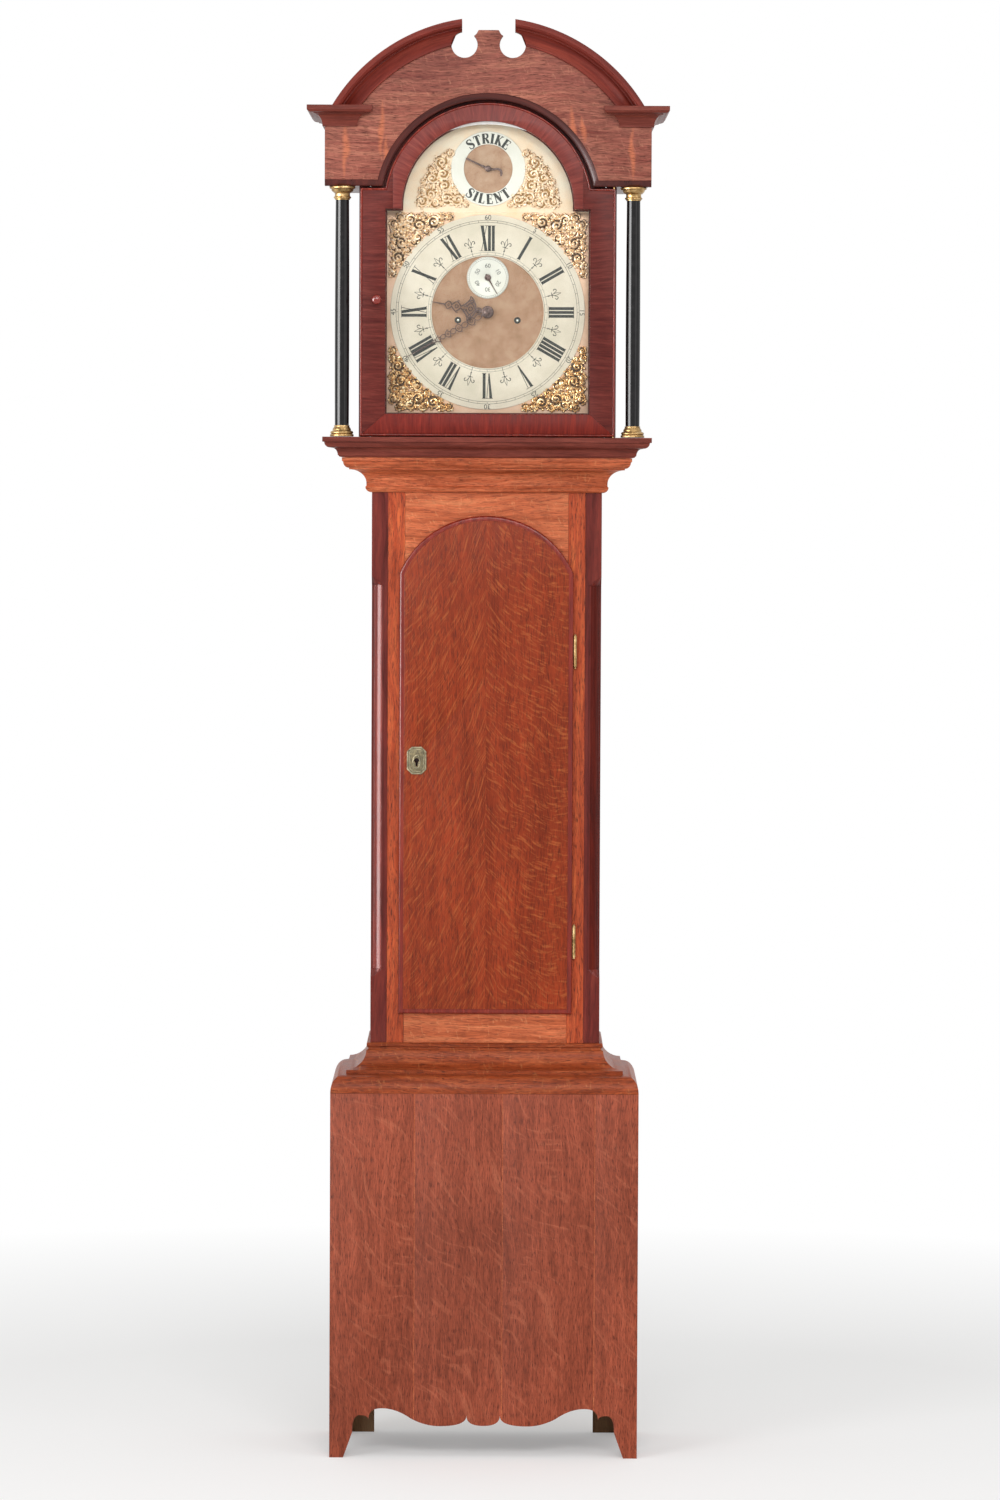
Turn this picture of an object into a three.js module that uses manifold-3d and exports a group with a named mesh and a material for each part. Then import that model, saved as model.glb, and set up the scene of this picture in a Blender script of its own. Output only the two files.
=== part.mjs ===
// A longcase clock: eight-day movement, break-arch dial, sliding hood, trunk door and bracket-footed base.
// Millimetres, +Z up, the front towards -Y. The origin is under the middle of the clock, on the floor.
import * as THREE from 'three';
import Module from 'manifold-3d';
import { mergeVertices } from 'three/addons/utils/BufferGeometryUtils.js';

const wasm = await Module();
wasm.setup();

// Fits
const seam = 0.3;
const overrun = 6;
const running = 1.5;

// Boards
const sideThickness = 16;
const frontThickness = 20;
const basePanelThickness = 18;
const backThickness = 12;
const hoodSideThickness = 12;
const roofThickness = 6;
const soffitThickness = 8;
const maskThickness = 8;
const seatboardThickness = 18;

// Trunk and base
const trunkDepth = 190;
const baseOverhang = 58;
const baseHeight = 544;
const baseMouldingHeight = 71;
const bottomRailShow = 43.6;
const trunkHeight = 943.4;
const throatHeight = 51.8;
const throatOverhang = 43.7;
const cornerStripWidth = 24;
const stileShow = 17.5;
const cornerStripDepth = 27;
const cantLeg = 19;
const cantRise = 97;
const cantLength = 599;
const cantStop = 9;
const trunkSideTail = 74;

// Apron and feet of the base
const apronCentreZ = 48;
const apronCusp = { x: 24.8, z: 63 };
const apronSideLobe = { x: 65, z: 47.4 };
const apronShoulder = { x: 108, z: 58.8 };
const apronArch = { x: 151, z: 73.9 };
const apronInnerCusp = { x: 171, z: 57 };
const apronSmallArch = { x: 184, z: 63.5 };
const legInset = 34;
const footTipWidth = 20.5;
const sideFootLength = 62;
const sideApronRise = 60;

// Trunk door
const doorWidth = 259;
const doorArchFlat = 11.5;
const doorBodyHeight = 742.7;
const lipOverlap = 8;
const lipProud = 8;
const lipRound = 5;
const doorBodyDepth = 18;
const doorLiningGap = 1.5;

// Trunk door hinges, escutcheon and lock
const hingeLength = 45;
const hingeFinial = 4;
const knuckleRadius = 2.5;
const hingePinRadius = 1.2;
const leafThickness = 1;
const leafWidth = 10;
const upperHingeRise = 541.4;
const lowerHingeRise = 108.4;
const escutcheonWidth = 29;
const escutcheonHeight = 41;
const escutcheonThickness = 1.5;
const escutcheonInset = 26.5;
const escutcheonRise = 378.4;
const keyholeRadius = 3.6;
const keyholeDrop = 9;
const keySlotWidth = 3.4;
const lockWidth = 34;
const lockHeight = 62;
const lockDepth = 9;

// Hood
const hoodBaseHeight = 30.4;
const hoodBaseOverhang = 72;
const friezeOverhang = 69.5;
const hoodOutset = 19;
const cheekClearance = 4;
const friezeFootRise = 31;
const friezeHeight = 86.8;
const friezeEdgeWidth = 9;
const friezeEdgeDepth = 7;
const corniceHeight = 30.4;
const corniceProjection = 25.9;
const corniceBlockWidth = 44.5;
const pedimentSpread = 27.5;
const pedimentDrop = 139;
const pedimentBand = 34.5;
const pedimentSplit = 39;
const scrollHoleRadius = 19.2;
const scrollHoleX = 35.5;
const scrollHoleInset = 39;
const plinthShoulderRise = 13;
const plinthHalfWidth = 14.8;
const plinthCap = 8.5;
const roofInset = 68;
const backHeadClearance = 1;

// Hood door, its glass and knob
const hoodDoorSideGap = 2;
const hoodDoorArchLap = 25;
const hoodDoorThickness = 20;
const hoodDoorSetback = 11;
const hoodDoorFootGap = 1.5;
const hoodDoorHeadGap = 2.8;
const hoodDoorArchGap = 4.4;
const hoodDoorBottomRail = 32.5;
const hoodDoorArchRail = 27;
const hoodArchRise = 2;
const hoodPivotInset = 2;
const hoodPivotRadius = 1;
const hoodPivotLength = 3.5;
const glassThickness = 3;
const glassRebate = 5;
const glassSetback = 13;
const hoodKnobRadius = 7;
const hoodKnobLength = 14;
const hoodKnobRise = 17;
const dialSightLap = 1.5;

// Columns of the hood
const columnOutset = 43.7;
const columnSetback = 18;
const columnRadius = 10.4;
const columnSwell = 0.5;
const capitalHeight = 20;
const capitalRadius = 19;
const columnBaseHeight = 16.6;
const columnBaseRadius = 17.5;

// Dial
const dialWidth = 305;
const dialArchRadius = 129;
const maskLap = 3.5;
const dialGap = 3.5;
const dialThickness = 3;
const ringThickness = 1.5;
const chapterOuter = 142;
const chapterInner = 83;
const secondsDialRise = 51;
const secondsDialRadius = 31;
const strikeRingRise = 211.5;
const strikeRingOuter = 55;
const strikeRingInner = 36;
const windingX = 44;
const windingDrop = 12;
const windingHoleRadius = 4.9;
const centreHoleRadius = 5.2;
const smallHoleRadius = 3;

// Hands
const handThickness = 1.2;
const hourHandLength = 84;
const minuteHandLength = 138;
const secondsHandLength = 28;
const pointerLength = 37;
const handBossRadius = 9;
const hourHandAngle = 280.4;
const minuteHandAngle = 240.9;
const secondsHandAngle = 150;
const pointerAngle = 295;
const secondsHandStandoff = 0.9;
const hourHandStandoff = 1.7;
const minuteHandStandoff = 4.4;
const centreArborRadius = 2.2;
const hourPipeWall = 1.6;
const secondsArborRadius = 1.5;

// Movement
const dialFeetLength = 31;
const plateThickness = 3.5;
const plateWidth = 168;
const plateHeight = 190;
const plateSpacing = 64;
const pillarRadius = 5;
const seatboardDrop = 91;
const seatboardDepth = 84;
const barrelRadius = 26;
const barrelLength = 35;
const barrelFlange = 2;
const greatWheelRadius = 37.5;
const greatWheelThickness = 3;
const barrelSetback = 30;
const barrelArborRadius = 3;
const escapeWheelRadius = 24;
const escapeWheelThickness = 2;
const escapeToothDepth = 6;
const escapeTeeth = 30;
const bellRadius = 46;
const bellHeight = 38;
const bellWall = 3;
const bellAbovePlates = 6;
const bellStandWidth = 10;

// Pendulum
const pendulumAxisRise = 87;
const pendulumLength = 994;
const pendulumSetback = 22;
const bobRadius = 57.5;
const bobThickness = 28;
const rodWidth = 6;
const rodThickness = 3;
const ratingNutRadius = 8;
const ratingNutHeight = 9;
const suspensionGap = 0.8;
const cockWidth = 24;
const cockHeight = 10;
const anchorReach = 20;
const anchorDrop = 17;
const anchorThickness = 5;
const crutchLength = 70;

// Weights and their lines
const weightRadius = 27.5;
const weightHeight = 200;
const weightSetback = 55.3;
const pulleyRadius = 21.4;
const pulleyFlange = 2.6;
const pulleyWidth = 5;
const strapThickness = 1.5;
const strapWidth = 8;
const lineRadius = 0.8;
const lineGap = 0.75;
const lineHoleRadius = 6;
const lineDrop = 224;
const weightBelowPulley = 36;

// Derived places, from the wall forwards and from the floor up
const trunkWidth = doorWidth + 2 * (cornerStripWidth + stileShow);
const wallY = (trunkDepth + friezeOverhang + corniceProjection) / 2;
const boardedBackY = wallY - backThickness - seam;
const trunkHalf = trunkWidth / 2;
const trunkFrontY = wallY - trunkDepth;
const frameBackY = trunkFrontY + frontThickness;
const baseHalf = trunkHalf + baseOverhang;
const baseFrontY = trunkFrontY - baseOverhang;
const baseMouldingTopZ = baseHeight + baseMouldingHeight;
const cantStartZ = baseMouldingTopZ + cantRise;
const doorBottomZ = baseMouldingTopZ + bottomRailShow;
const doorArchRadius = doorWidth / 2 + doorArchFlat;
const upperHingeZ = doorBottomZ + upperHingeRise;
const lowerHingeZ = doorBottomZ + lowerHingeRise;
const hingeAxisX = doorWidth / 2 + seam + knuckleRadius;
const hingeAxisY = trunkFrontY - 2 * seam - knuckleRadius;
const escutcheonX = escutcheonInset - doorWidth / 2;
const escutcheonZ = doorBottomZ + escutcheonRise;
const hoodSeatZ = baseHeight + trunkHeight;
const hoodFloorZ = hoodSeatZ + hoodBaseHeight;
const dialHalf = dialWidth / 2;
const apertureHalf = dialHalf - dialSightLap;
const orderHeight = hoodDoorFootGap + hoodDoorBottomRail + 2 * apertureHalf + hoodArchRise + friezeFootRise;
const friezeFootZ = hoodFloorZ + orderHeight;
const corniceFootZ = friezeFootZ + friezeHeight;
const corniceTopZ = corniceFootZ + corniceHeight;
const pedimentCentreZ = corniceTopZ - pedimentDrop;
const hoodDoorArchRadius = dialArchRadius + hoodDoorArchLap;
const friezeArchRadius = hoodDoorArchRadius + hoodDoorArchGap;
const friezeHalf = trunkHalf + friezeOverhang;
const pedimentRadius = friezeHalf + pedimentSpread;
const scrollHoleZ = pedimentCentreZ + pedimentRadius - scrollHoleInset;
const roofRadius = pedimentRadius - roofInset;
const hoodHalfWidth = trunkHalf + hoodOutset;
const hoodDoorHalfWidth = hoodHalfWidth - hoodDoorSideGap;
const backArchRadius = hoodHalfWidth - hoodSideThickness - backHeadClearance;
const hoodStileWidth = hoodDoorHalfWidth - apertureHalf;
const columnX = trunkHalf + columnOutset;
const friezeFrontY = trunkFrontY - friezeOverhang;
const friezeBackY = friezeFrontY + frontThickness;
const hoodDoorFrontY = friezeFrontY + hoodDoorSetback;
const hoodDoorBackY = hoodDoorFrontY + hoodDoorThickness;
const hoodDoorFootZ = hoodFloorZ + hoodDoorFootGap;
const hoodDoorHeadZ = friezeFootZ - hoodDoorHeadGap;
const pivotX = hoodDoorHalfWidth - hoodPivotInset;
const pivotY = hoodDoorFrontY + hoodPivotInset;
const dialCentreZ = hoodDoorFootZ + hoodDoorBottomRail + apertureHalf;
const apertureTopZ = dialCentreZ + apertureHalf;
const hoodArchCentreZ = apertureTopZ + hoodArchRise;
const maskFrontY = hoodDoorBackY + 5 * seam;
const dialFrontY = maskFrontY + maskThickness + dialGap;
const frontPlateY = dialFrontY + dialThickness + dialFeetLength;
const backPlateY = frontPlateY + plateThickness + plateSpacing;
const seatboardTopZ = dialCentreZ - seatboardDrop;
const seatboardFootZ = seatboardTopZ - seatboardThickness;
const plateTopZ = seatboardTopZ + seam + plateHeight;
const pendulumAxisZ = dialCentreZ + pendulumAxisRise;
const pendulumY = backPlateY + plateThickness + pendulumSetback;
const barrelZ = dialCentreZ - windingDrop;
const weightY = trunkFrontY + weightSetback;
const lineRunRadius = pulleyRadius + lineGap + lineRadius;
const lineOuterX = windingX + barrelRadius;
const weightX = lineOuterX - lineRunRadius;
const pulleyZ = seatboardFootZ - lineDrop;

// Finishes
const mahogany = [0x6b2f2b, 0.4, 0];
const redOak = [0x9a4d3f, 0.45, 0];
const orangeOak = [0xb0603c, 0.45, 0];
const doorOak = [0x8c3f2b, 0.35, 0];
const backPine = [0x8a6a4a, 0.8, 0];
const ebonised = [0x2c2829, 0.3, 0];
const brass = [0xb89a5e, 0.35, 1];
const agedBrass = [0x8f8a72, 0.45, 1];
const dialBrass = [0xeccb9e, 0.45, 1];
const silvered = [0xd8d6c6, 0.4, 0.3];
const bluedSteel = [0x6b5a5c, 0.4, 0.8];
const steel = [0x9a9a98, 0.4, 1];
const lead = [0x77787a, 0.6, 0.6];
const gut = [0xc9a870, 0.6, 0];
const bellMetal = [0xa8925a, 0.35, 1];
const windowGlass = [0xe8efec, 0.05, 0];

const clock = new THREE.Group();

function addPiece(parent, name, geometry, [colour, roughness, metalness]) {
  const material = new THREE.MeshStandardMaterial({ color: colour, roughness, metalness });
  const mesh = new THREE.Mesh(geometry, material);
  mesh.name = name;
  parent.add(mesh);
  return mesh;
}

function placedGroup(x, y, z, parent = clock) {
  const group = new THREE.Group();
  group.position.set(x, y, z);
  parent.add(group);
  return group;
}

// A closed geometry becomes a solid: shared corners are merged, empty triangles dropped, faces turned out.
function toSolid(geometry) {
  const bare = geometry.clone();
  bare.deleteAttribute('normal');
  bare.deleteAttribute('uv');
  const merged = mergeVertices(bare);
  const position = merged.attributes.position;
  const index = merged.index.array;
  const corners = [new THREE.Vector3(), new THREE.Vector3(), new THREE.Vector3()];
  const kept = [];
  let volume = 0;
  for (let i = 0; i < index.length; i += 3) {
    const [a, b, c] = [index[i], index[i + 1], index[i + 2]];
    if (a !== b && b !== c && c !== a) {
      kept.push(a, b, c);
      [a, b, c].forEach((vertex, k) => corners[k].fromBufferAttribute(position, vertex));
      volume += corners[0].dot(corners[1].cross(corners[2]));
    }
  }
  if (volume < 0) kept.reverse();
  const triVerts = new Uint32Array(kept);
  const vertProperties = new Float32Array(position.array);
  return new wasm.Manifold(new wasm.Mesh({ numProp: 3, vertProperties, triVerts }));
}

function toGeometry(solid) {
  const mesh = solid.getMesh();
  const geometry = new THREE.BufferGeometry();
  geometry.setAttribute('position', new THREE.BufferAttribute(mesh.vertProperties, 3));
  geometry.setIndex(new THREE.BufferAttribute(mesh.triVerts, 1));
  geometry.computeVertexNormals();
  return geometry;
}

const join = (first, ...others) =>
  toGeometry(others.reduce((sum, g) => sum.add(toSolid(g)), toSolid(first)));
const cut = (first, ...others) =>
  toGeometry(others.reduce((rest, g) => rest.subtract(toSolid(g)), toSolid(first)));
const common = (first, second) => toGeometry(toSolid(first).intersect(toSolid(second)));

function board([x0, x1], [y0, y1], [z0, z1]) {
  const geometry = new THREE.BoxGeometry(x1 - x0, y1 - y0, z1 - z0);
  return geometry.translate((x0 + x1) / 2, (y0 + y1) / 2, (z0 + z1) / 2);
}

function mirrored(geometry) {
  return toGeometry(toSolid(geometry.clone().scale(-1, 1, 1)));
}

function shapeOf(points) {
  const shape = new THREE.Shape();
  points.forEach(([a, b], i) => (i ? shape.lineTo(a, b) : shape.moveTo(a, b)));
  shape.closePath();
  return shape;
}

// An outline drawn in x and z, given thickness from frontY back to backY.
function frontPrism(shape, frontY, backY, curveSegments = 12) {
  const options = { depth: backY - frontY, bevelEnabled: false, curveSegments };
  const geometry = new THREE.ExtrudeGeometry(shape, options);
  return geometry.rotateX(Math.PI / 2).translate(0, backY, 0);
}

// An outline drawn in y and z, given width from leftX to rightX.
function sidePrism(shape, leftX, rightX) {
  const geometry = new THREE.ExtrudeGeometry(shape, { depth: rightX - leftX, bevelEnabled: false });
  const turn = new THREE.Matrix4().makeBasis(
    new THREE.Vector3(0, 1, 0), new THREE.Vector3(0, 0, 1), new THREE.Vector3(1, 0, 0));
  return geometry.applyMatrix4(turn).translate(leftX, 0, 0);
}

// Turned work: [radius, height] points about Z, or [radius, y] points about Y for what faces the front.
function turnedForward(points, segments = 24) {
  const lathe = new THREE.LatheGeometry(points.map(([r, y]) => new THREE.Vector2(r, y)), segments);
  return toGeometry(toSolid(lathe));
}

const turnedUp = (points, segments = 24) => turnedForward(points, segments).rotateX(Math.PI / 2);

const rodUp = (radius, z0, z1, segments = 16) =>
  turnedUp([[0, z0], [radius, z0], [radius, z1], [0, z1]], segments);
const rodForward = (radius, y0, y1, segments = 14) =>
  turnedForward([[0, y0], [radius, y0], [radius, y1], [0, y1]], segments);
const ringForward = (inner, outer, y0, y1, segments = 64) =>
  turnedForward([[inner, y0], [outer, y0], [outer, y1], [inner, y1], [inner, y0]], segments);

// A break-arch outline: straight sides to the shoulders, then a round head.
function breakArch(halfWidth, footZ, shoulderZ, radius, centreZ) {
  const start = Math.asin((shoulderZ - centreZ) / radius);
  const shape = new THREE.Shape();
  shape.moveTo(-halfWidth, footZ);
  shape.lineTo(halfWidth, footZ);
  shape.lineTo(halfWidth, shoulderZ);
  shape.absarc(0, centreZ, radius, start, Math.PI - start, false);
  shape.lineTo(-halfWidth, shoulderZ);
  shape.closePath();
  return shape;
}

// A moulding section read from its foot up. Each step names a quarter round, a quarter hollow or a
// straight, and where it ends, as shares of the projection and of the height.
const quarterSteps = 4;

function mouldingSection(startShare, steps, projection, height) {
  let from = [startShare * projection, 0];
  const points = [from];
  steps.forEach(([kind, outShare, upShare]) => {
    const to = [outShare * projection, upShare * height];
    const alike = (kind === 'round') === (to[0] > from[0]);
    const centre = alike ? [from[0], to[1]] : [to[0], from[1]];
    const count = kind === 'flat' ? 1 : quarterSteps;
    for (let i = 1; i <= count; i += 1) {
      const turn = (i / count) * (Math.PI / 2);
      const [c, s] = i === count ? [0, 1] : [Math.cos(turn), Math.sin(turn)];
      points.push([0, 1].map((k) => centre[k] + (from[k] - centre[k]) * c + (to[k] - centre[k]) * s));
    }
    from = to;
  });
  return points;
}

// A section with its back at innerOut, so that it is a closed outline.
function closedSection(points, innerOut) {
  const topUp = points[points.length - 1][1];
  return [[innerOut, 0], ...points, [innerOut, topUp]];
}

// The section carried along mitred stations, each of which says where an [out, up] point lies.
function mitredRun(section, stations) {
  const flat = section.map(([out, up]) => new THREE.Vector2(out, up));
  if (THREE.ShapeUtils.isClockWise(flat)) flat.reverse();
  const count = flat.length;
  const positions = stations.flatMap((station) => flat.flatMap((p) => station(p.x, p.y).toArray()));
  const index = [];
  for (let s = 0; s + 1 < stations.length; s += 1) {
    for (let i = 0; i < count; i += 1) {
      const a = s * count + i;
      const b = s * count + ((i + 1) % count);
      index.push(a, b, b + count, a, b + count, a + count);
    }
  }
  const faces = THREE.ShapeUtils.triangulateShape(flat.slice(), []);
  const [first, second, third] = faces[0].map((k) => flat[k]);
  const turn = second.clone().sub(first).cross(third.clone().sub(first));
  const last = (stations.length - 1) * count;
  faces.forEach((face) => {
    const [a, b, c] = turn > 0 ? face : face.slice().reverse();
    index.push(c, b, a, last + a, last + b, last + c);
  });
  const geometry = new THREE.BufferGeometry();
  geometry.setAttribute('position', new THREE.Float32BufferAttribute(positions, 3));
  geometry.setIndex(index);
  return toGeometry(toSolid(geometry));
}

// A moulding round the front and both sides of a body, back to the wall.
function threeSidedRun(section, half, frontY, footZ) {
  return mitredRun(section, [
    (out, up) => new THREE.Vector3(-half - out, wallY, footZ + up),
    (out, up) => new THREE.Vector3(-half - out, frontY - out, footZ + up),
    (out, up) => new THREE.Vector3(half + out, frontY - out, footZ + up),
    (out, up) => new THREE.Vector3(half + out, wallY, footZ + up),
  ]);
}

// Base: front panel with shaped apron, sides, moulding
function apronOutline() {
  const footInner = baseHalf - footTipWidth;
  const legInner = baseHalf - legInset;
  const legBendX = (footInner + legInner) / 2 - seam;
  const legBendZ = apronInnerCusp.z / 3;
  const archBendX = (apronArch.x + apronShoulder.x) / 2;
  const lobeBendX = (apronShoulder.x + apronSideLobe.x) / 2;
  const edge = new THREE.Path();
  edge.moveTo(footInner, 0);
  edge.quadraticCurveTo(legBendX, legBendZ, legInner, legBendZ * 2);
  edge.quadraticCurveTo(legInner, apronSmallArch.z, apronSmallArch.x, apronSmallArch.z);
  edge.quadraticCurveTo(apronInnerCusp.x, apronSmallArch.z, apronInnerCusp.x, apronInnerCusp.z);
  edge.quadraticCurveTo(apronInnerCusp.x, apronArch.z, apronArch.x, apronArch.z);
  edge.quadraticCurveTo(archBendX, apronArch.z, apronShoulder.x, apronShoulder.z);
  edge.quadraticCurveTo(lobeBendX, apronSideLobe.z, apronSideLobe.x, apronSideLobe.z);
  edge.quadraticCurveTo(apronCusp.x, apronSideLobe.z, apronCusp.x, apronCusp.z);
  edge.quadraticCurveTo(apronCusp.x, apronCentreZ, 0, apronCentreZ);
  const curveDivisions = 5;
  const right = edge.getPoints(curveDivisions).map((p) => [p.x, p.y]);
  const left = right.slice(0, -1).map(([x, z]) => [-x, z]);
  return shapeOf([
    [-baseHalf, baseHeight],
    [-baseHalf, 0],
    ...left,
    ...right.reverse(),
    [baseHalf, 0],
    [baseHalf, baseHeight],
  ]);
}

function makeBase() {
  const panelBackY = baseFrontY + basePanelThickness;
  addPiece(clock, 'base_front_panel', frontPrism(apronOutline(), baseFrontY, panelBackY), redOak);

  const sideFrontY = panelBackY + seam;
  const legPoints = [[footTipWidth, 0], [legInset, sideApronRise / 3], [legInset, 2 * sideApronRise / 3],
    [sideFootLength, sideApronRise]];
  const sideShape = shapeOf([
    [sideFrontY, 0],
    ...legPoints.map(([inset, z]) => [sideFrontY + inset, z]),
    ...legPoints.map(([inset, z]) => [boardedBackY - inset, z]).reverse(),
    [boardedBackY, 0],
    [boardedBackY, baseHeight],
    [sideFrontY, baseHeight],
  ]);
  addPiece(clock, 'base_side_left', sidePrism(sideShape, -baseHalf, sideThickness - baseHalf), redOak);
  addPiece(clock, 'base_side_right', sidePrism(sideShape, baseHalf - sideThickness, baseHalf), redOak);

  const section = mouldingSection(1, [
    ['flat', 1, 0.02],
    ['round', 0.69, 0.37],
    ['flat', 0.6, 0.38],
    ['flat', 0.6, 0.46],
    ['hollow', 0.1, 0.84],
    ['flat', 0.05, 0.86],
    ['flat', 0.05, 0.9],
    ['flat', 0.09, 0.92],
    ['flat', 0.09, 0.98],
    ['flat', 0.05, 1],
  ], baseOverhang, baseMouldingHeight - seam);
  const run = threeSidedRun(closedSection(section, seam), trunkHalf, trunkFrontY, baseHeight + seam);
  addPiece(clock, 'base_moulding', run, mahogany);
}

// Trunk: backboard, sides, corner strips, stiles, rails and the moulding that carries the hood
function backboardShape() {
  const footInner = baseHalf - sideFootLength;
  const earZ = hoodFloorZ + seam;
  const shape = new THREE.Shape();
  [
    [-baseHalf, 0],
    [-footInner, 0],
    [-footInner, sideApronRise],
    [footInner, sideApronRise],
    [footInner, 0],
    [baseHalf, 0],
    [baseHalf, baseHeight],
    [trunkHalf, baseHeight],
    [trunkHalf, earZ],
    [backArchRadius, earZ],
  ].forEach(([x, z], i) => (i ? shape.lineTo(x, z) : shape.moveTo(x, z)));
  shape.absarc(0, pedimentCentreZ, backArchRadius, 0, Math.PI, false);
  shape.lineTo(-backArchRadius, earZ);
  shape.lineTo(-trunkHalf, earZ);
  shape.lineTo(-trunkHalf, baseHeight);
  shape.lineTo(-baseHalf, baseHeight);
  shape.closePath();
  return shape;
}

// The stopped cant: the outer corner is cut back to a quarter round between two small quirks.
function cantCutter(cornerX, cornerY, inwards) {
  const quirkShare = 0.12;
  const roundPoints = 5;
  const section = [[0, 0], [1, 0]];
  for (let i = 0; i <= roundPoints; i += 1) {
    const turn = (i / roundPoints) * (Math.PI / 2);
    const reach = 1 - quirkShare;
    section.push([1 - reach * Math.sin(turn), 1 - reach * Math.cos(turn)]);
  }
  section.push([0, 1]);
  const outside = overrun / cantLeg;
  const grown = section.map(([a, b]) => [a === 0 ? -outside : a, b === 0 ? -outside : b]);
  const stopShare = 0.05;
  const levels = [
    [cantStartZ, stopShare],
    [cantStartZ + cantStop, 1],
    [cantStartZ + cantLength - cantStop, 1],
    [cantStartZ + cantLength, stopShare],
  ];
  const place = ([z, share]) => (a, b) => {
    const x = cornerX + inwards * cantLeg * (a > 0 ? a * share : a);
    const y = cornerY + cantLeg * (b > 0 ? b * share : b);
    return new THREE.Vector3(x, y, z);
  };
  return mitredRun(grown, levels.map(place));
}

function makeTrunk() {
  addPiece(clock, 'backboard', frontPrism(backboardShape(), wallY - backThickness, wallY), backPine);

  const trunkSideFrontY = trunkFrontY + cornerStripDepth + seam;
  const sideFootZ = baseHeight - trunkSideTail;
  [['left', -1], ['right', 1]].forEach(([hand, side]) => {
    const span = (near, far) => [side * near, side * far].sort((a, b) => a - b);
    const sideSpan = span(trunkHalf - sideThickness, trunkHalf);
    const sideBoard = board(sideSpan, [trunkSideFrontY, boardedBackY], [sideFootZ, seatboardFootZ - seam]);
    addPiece(clock, `trunk_side_${hand}`, sideBoard, redOak);

    const stripSpan = span(trunkHalf - cornerStripWidth, trunkHalf);
    const stripDepth = [trunkFrontY, trunkFrontY + cornerStripDepth];
    const strip = board(stripSpan, stripDepth, [baseHeight + seam, hoodSeatZ]);
    const cutter = cantCutter(side * trunkHalf, trunkFrontY, -side);
    addPiece(clock, `trunk_corner_${hand}`, cut(strip, cutter), mahogany);

    const openingHalf = doorWidth / 2 - lipOverlap;
    const stileSpan = span(openingHalf, trunkHalf - cornerStripWidth - seam);
    const stile = board(stileSpan, [trunkFrontY, frameBackY], [baseHeight + seam, hoodSeatZ]);
    addPiece(clock, `trunk_stile_${hand}`, side > 0 ? cut(stile, ...leafPockets()) : stile, orangeOak);
  });

  const railHalf = doorWidth / 2 - lipOverlap - seam;
  const doorArch = trunkDoorArch();
  const openingRadius = doorArchRadius - lipOverlap;
  const railAngle = Math.acos(railHalf / openingRadius);
  const topRail = new THREE.Shape();
  topRail.moveTo(railHalf, hoodSeatZ);
  topRail.lineTo(-railHalf, hoodSeatZ);
  topRail.absarc(0, doorArch.centreZ, openingRadius, Math.PI - railAngle, railAngle, true);
  topRail.closePath();
  addPiece(clock, 'trunk_top_rail', frontPrism(topRail, trunkFrontY, frameBackY, 16), orangeOak);
  const bottomRailZ = [baseHeight + seam, doorBottomZ + lipOverlap];
  const bottomRail = board([-railHalf, railHalf], [trunkFrontY, frameBackY], bottomRailZ);
  addPiece(clock, 'trunk_bottom_rail', bottomRail, orangeOak);

  const section = mouldingSection(seam / throatOverhang, [
    ['round', 0.22, 0.16],
    ['flat', 0.185, 0.19],
    ['flat', 0.185, 0.27],
    ['hollow', 0.76, 0.66],
    ['flat', 0.76, 0.7],
    ['round', 0.96, 0.88],
    ['flat', 1, 0.9],
    ['flat', 1, 1],
  ], throatOverhang, throatHeight).slice(1);
  const closed = closedSection(section, seam);
  const run = threeSidedRun(closed, trunkHalf, trunkFrontY, hoodSeatZ - throatHeight);
  addPiece(clock, 'throat_moulding', run, mahogany);
}

// Trunk door with its lipped edge, hinges, escutcheon and lock
function trunkDoorArch() {
  const half = doorWidth / 2;
  const springRise = Math.sqrt(doorArchRadius ** 2 - half ** 2);
  const topZ = doorBottomZ + doorBodyHeight;
  const centreZ = topZ - doorArchRadius;
  return { half, centreZ, springZ: centreZ + springRise };
}

function doorOutline(inset) {
  const arch = trunkDoorArch();
  const half = arch.half - inset;
  const radius = doorArchRadius - inset;
  const springZ = arch.centreZ + Math.sqrt(radius ** 2 - half ** 2);
  return breakArch(half, doorBottomZ + inset, springZ, radius, arch.centreZ);
}

// Shallow pockets let the leaves lie flush, in the stile and in the back of the lip.
function leafPockets() {
  return [upperHingeZ, lowerHingeZ].map((z) => board(
    [doorWidth / 2 - leafWidth - seam, hingeAxisX + knuckleRadius],
    [trunkFrontY - overrun, trunkFrontY + leafThickness + seam],
    [z - hingeLength / 2 - seam, z + hingeLength / 2 + seam],
  ));
}

function lipPockets() {
  const lipBackY = trunkFrontY - seam;
  return [upperHingeZ, lowerHingeZ].map((z) => board(
    [doorWidth / 2 - leafWidth - seam, hingeAxisX],
    [lipBackY - leafThickness - seam, lipBackY + overrun],
    [z - hingeLength / 6 - seam, z + hingeLength / 6 + seam],
  ));
}

function keyhole(frontY, backY) {
  const slotFootZ = escutcheonZ - keyholeDrop;
  const round = rodForward(keyholeRadius, frontY, backY, 16).translate(escutcheonX, 0, escutcheonZ);
  const slotSpan = [escutcheonX - keySlotWidth / 2, escutcheonX + keySlotWidth / 2];
  return [round, board(slotSpan, [frontY, backY], [slotFootZ, escutcheonZ])];
}

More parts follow.
